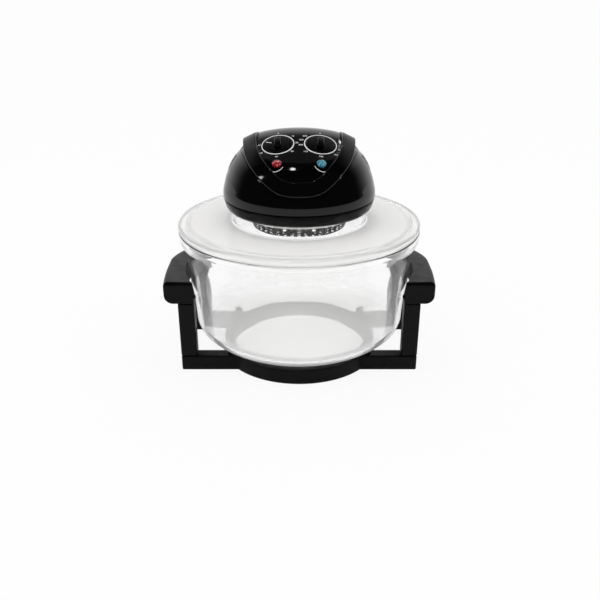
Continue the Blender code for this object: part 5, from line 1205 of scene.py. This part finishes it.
pointer.data.transform(face_place(-DIAL_X, DIAL_Y) @ turned_by(radians(POINTER_DEG)))
fit(pointer, "timer_dial", "white_plastic", white_ink)


# Timer and thermostat
# Behind each dial sits its control: a spring timer in a zinc case and a thermostat in brown
# moulded resin, each held by the neck round its spindle.
brown_resin = finish("brown_resin", (0.24, 0.14, 0.09), (0.15, 0.085, 0.055), (0.38, 0.55),
                     0.0008, 0.00001, drift=0.004)
refinish(zinc, "timer_body")
refinish(brown_resin, "thermostat_body", "safety_switch")


# Indicator lenses
# Two faceted plastic lenses, red for power and green-blue for heat, pressed into the cap.
# Paler spots painted into their colour stand for glints on the facets.
LENS_RADIUS = 0.0064
LENS_FOOT = 0.0006
LENS_SIDES = 12
LENS_TURN_DEG = 15
LENS_RINGS = ((0.0007, 0.97), (0.0012, 0.84), (0.0011, 0.68), (0.0007, 0.45))  # rise, width share
STEM_RADIUS = 0.0056
STEM_LOW = -0.0160
STEM_TOP = 0.0012
GLINT_START_SHARE = 0.52
PAINTED_GLINT_SHARE = 0.66
PAINTED_GLINT_WHITE = 0.45
LENS_CLEAR_SHARE = 0.30
LENS_BEND = 1.49


def lens_finish(name, light, dark):
    """Clear coloured plastic, with paler spots painted into its colour as glints on its facets."""
    made = finish(name, light, dark, (0.02, 0.05), 0.002, 0.000004, drift=0.0022)
    base = made.node_tree.nodes["Principled BSDF"].inputs["Base Color"]
    stops = base.links[0].from_node.color_ramp.elements
    # Where the noise runs high the colour turns pale: painted glints.
    stops.new(GLINT_START_SHARE).color = (*light, 1)
    stops[2].position = PAINTED_GLINT_SHARE
    stops[2].color = (*[PAINTED_GLINT_WHITE + (1 - PAINTED_GLINT_WHITE) * tone for tone in light], 1)
    return see_through(made, LENS_CLEAR_SHARE, LENS_BEND)


def faceted_lens(name):
    """A low dome cut in rings of facets."""
    clear_selection()
    bpy.ops.mesh.primitive_circle_add(vertices=LENS_SIDES, radius=LENS_RADIUS, fill_type="NGON",
                                      location=(0, 0, LENS_FOOT))
    piece = settled(name)
    bpy.ops.object.mode_set(mode="EDIT")
    bpy.ops.mesh.select_mode(type="FACE")
    bpy.ops.mesh.select_all(action="SELECT")
    for rise, share in LENS_RINGS:
        bpy.ops.mesh.extrude_region_move(TRANSFORM_OT_translate={"value": (0, 0, rise)})
        bpy.ops.transform.resize(value=(share, share, 1), center_override=(0, 0, 0))
        bpy.ops.transform.rotate(value=radians(LENS_TURN_DEG), orient_axis="Z",
                                 center_override=(0, 0, 0))
    bpy.ops.mesh.select_all(action="SELECT")
    bpy.ops.mesh.quads_convert_to_tris()
    mend()
    return piece


for lamp_name, sx, slot_name, light, dark in (
        ("power_lamp", -1, "red_lens", (0.42, 0.012, 0.022), (0.20, 0.003, 0.010)),
        ("heat_lamp", 1, "teal_lens", (0.05, 0.33, 0.42), (0.015, 0.14, 0.20))):
    lens = gathered(lamp_name + "_facets", [
        faceted_lens(lamp_name + "_facets"), rod("stem", STEM_RADIUS, STEM_LOW, STEM_TOP, steps=40)])
    lens.data.transform(face_place(sx * LAMP_X, LAMP_Y))
    mend()
    fit(lens, "lid", slot_name, lens_finish(lamp_name + "_plastic", light, dark),
        lamp_name + "_lens")


# Safety plunger
# A white plastic pin pokes through the cap under the right side of the handle.  The handle
# presses it down, and only then does the switch below let the power through.
refinish(white_plastic, "switch_plunger")


# Power inlet and small electrical pieces
# The mains lead plugs into a socket with three blades at the back of the head.  Inside stand a
# porcelain terminal block and a thermal cutout in an aluminium can.
ceramic = finish("white_ceramic", (0.84, 0.82, 0.77), (0.74, 0.72, 0.66), (0.35, 0.55), 0.0009,
                 0.00002, drift=0.006)
aluminium = finish("rolled_aluminium", (0.82, 0.83, 0.84), (0.70, 0.71, 0.72), (0.20, 0.34),
                   0.0005, 0.000005, metallic=1.0, stretch=(1, 12, 1), drift=0.012)
refinish(satin_black, "power_inlet")
refinish(ceramic, "terminal_block", "heater_end_cap_left", "heater_end_cap_right")
refinish(aluminium, "thermal_cutout", "heat_shield", "cooling_fan")


# Reflector, studs and guard
# A polished steel reflector hangs under the head on two studs.  Below it a pierced basket of thin
# steel, painted near black as shade under the head, keeps hands and food off the hot lamp.
GUARD_RADIUS = 0.0660
GUARD_SHEET = 0.0008
GUARD_TOP_Z = 0.2145
GUARD_LOW_Z = 0.1985
GUARD_FLANGE = 0.0745
GUARD_COUNT = 42
SIDE_SLOT_IN = 0.0036
SIDE_SLOT_OUT = 0.0024
SIDE_SLOT_HALF = 0.0026
SIDE_SLOT_ROUND = 0.0010
SIDE_SLOT_Z = (0.2003, 0.2109)
HOLE_ROWS = ((0.0034, 0.0590), (0.0024, 0.0510))  # hole radius, place
FLOOR_SLOT_COUNT = 12
FLOOR_SLOT_X = (0.0200, 0.0450)
FLOOR_SLOT_HALF = 0.0036
STUD_HOLE_X = 0.0703
STUD_HOLE_RADIUS = 0.0021
STUD_HOLE_HALF = 0.0030
cut_low = GUARD_LOW_Z - OVERRUN
cut_top = GUARD_LOW_Z + 2 * GUARD_SHEET
guard = turned("heater_guard_basket", rounded([
    (0, GUARD_LOW_Z + GUARD_SHEET, 0),
    (GUARD_RADIUS - GUARD_SHEET, GUARD_LOW_Z + GUARD_SHEET, 0.0018),
    (GUARD_RADIUS - GUARD_SHEET, GUARD_TOP_Z, 0), (GUARD_FLANGE, GUARD_TOP_Z, 0),
    (GUARD_FLANGE, GUARD_TOP_Z - GUARD_SHEET, 0), (GUARD_RADIUS, GUARD_TOP_Z - GUARD_SHEET, 0),
    (GUARD_RADIUS, GUARD_LOW_Z, 0.0030), (0, GUARD_LOW_Z, 0)], 5), steps=168)
side_slots = []
floor_holes = []
for index in range(GUARD_COUNT):
    turn = turned_by(2 * pi * (index + 0.5) / GUARD_COUNT)
    slot = block("slot", (GUARD_RADIUS - SIDE_SLOT_IN, -SIDE_SLOT_HALF, SIDE_SLOT_Z[0]),
                 (GUARD_RADIUS + SIDE_SLOT_OUT, SIDE_SLOT_HALF, SIDE_SLOT_Z[1]),
                 SIDE_SLOT_ROUND, 2)
    slot.data.transform(turn)
    side_slots.append(slot)
    for radius, place in HOLE_ROWS:
        floor_holes.append(rod("hole", radius, cut_low, cut_top, turn @ at(place), 16))
for index in range(FLOOR_SLOT_COUNT):
    slot = block("slot", (FLOOR_SLOT_X[0], -FLOOR_SLOT_HALF, cut_low),
                 (FLOOR_SLOT_X[1], FLOOR_SLOT_HALF, cut_top))
    slot.data.transform(turned_by(2 * pi * index / FLOOR_SLOT_COUNT))
    floor_holes.append(slot)
for sx in (-1, 1):
    floor_holes.append(rod("hole", STUD_HOLE_RADIUS, GUARD_TOP_Z - STUD_HOLE_HALF,
                           GUARD_TOP_Z + STUD_HOLE_HALF, at(sx * STUD_HOLE_X), 24))
cut(guard, gathered("side_slots", side_slots), gathered("floor_holes", floor_holes))
smooth()
# Painted shade: the guard's steel is given a near-black colour for the dark under the head.
guard_steel_painted_shade = finish("steel_with_painted_shade", (0.028, 0.026, 0.028), (0.012, 0.012, 0.013),
                    (0.16, 0.28), 0.0006, 0.000008, metallic=1.0, drift=0.006)
fit(guard, "lid", "bright_steel", guard_steel_painted_shade, "heater_guard")
refinish(bright_steel, "reflector", "tube_clip", "convection_fan")
refinish(zinc, "heater_stud_left", "heater_stud_right", "motor_lower_bracket",
         "motor_upper_bracket", "motor_screw_left", "motor_screw_right", "fan_nut")


# Halogen lamp
# A ring of clear quartz tube with a tungsten wire down its middle, held by porcelain blocks at
# its ends and a steel clip in front.
QUARTZ_CLEAR_SHARE = 0.92
QUARTZ_BEND = 1.46
quartz = see_through(finish("clear_quartz", (0.95, 0.95, 0.93), (0.90, 0.90, 0.88),
                            (0.02, 0.06), 0.004, 0.00002), QUARTZ_CLEAR_SHARE, QUARTZ_BEND)
tungsten = finish("tungsten_wire", (0.42, 0.40, 0.38), (0.28, 0.26, 0.25), (0.30, 0.45), 0.0003,
                  0.00005, metallic=1.0, drift=0.002)
refinish(quartz, "halogen_tube")
refinish(tungsten, "halogen_filament")


# Thermostat sensor
# A copper bulb clipped near the lamp, with a hair-thin copper tube up to the thermostat.
copper = finish("copper", (0.78, 0.40, 0.22), (0.62, 0.28, 0.14), (0.24, 0.40), 0.0006, 0.00001,
                metallic=1.0, drift=0.005)
refinish(copper, "thermostat_sensor", "motor_coil")


# Motor
# A small shaded-pole motor: a stack of iron sheets with one copper coil, and a rotor on a steel
# shaft that drives the cooling fan above and the hot air fan below.
iron = finish("stamped_iron", (0.36, 0.36, 0.38), (0.24, 0.24, 0.26), (0.36, 0.52), 0.0007,
              0.00003, metallic=1.0, stretch=(1, 1, 20), drift=0.006)
refinish(iron, "motor_stator", "motor_rotor")
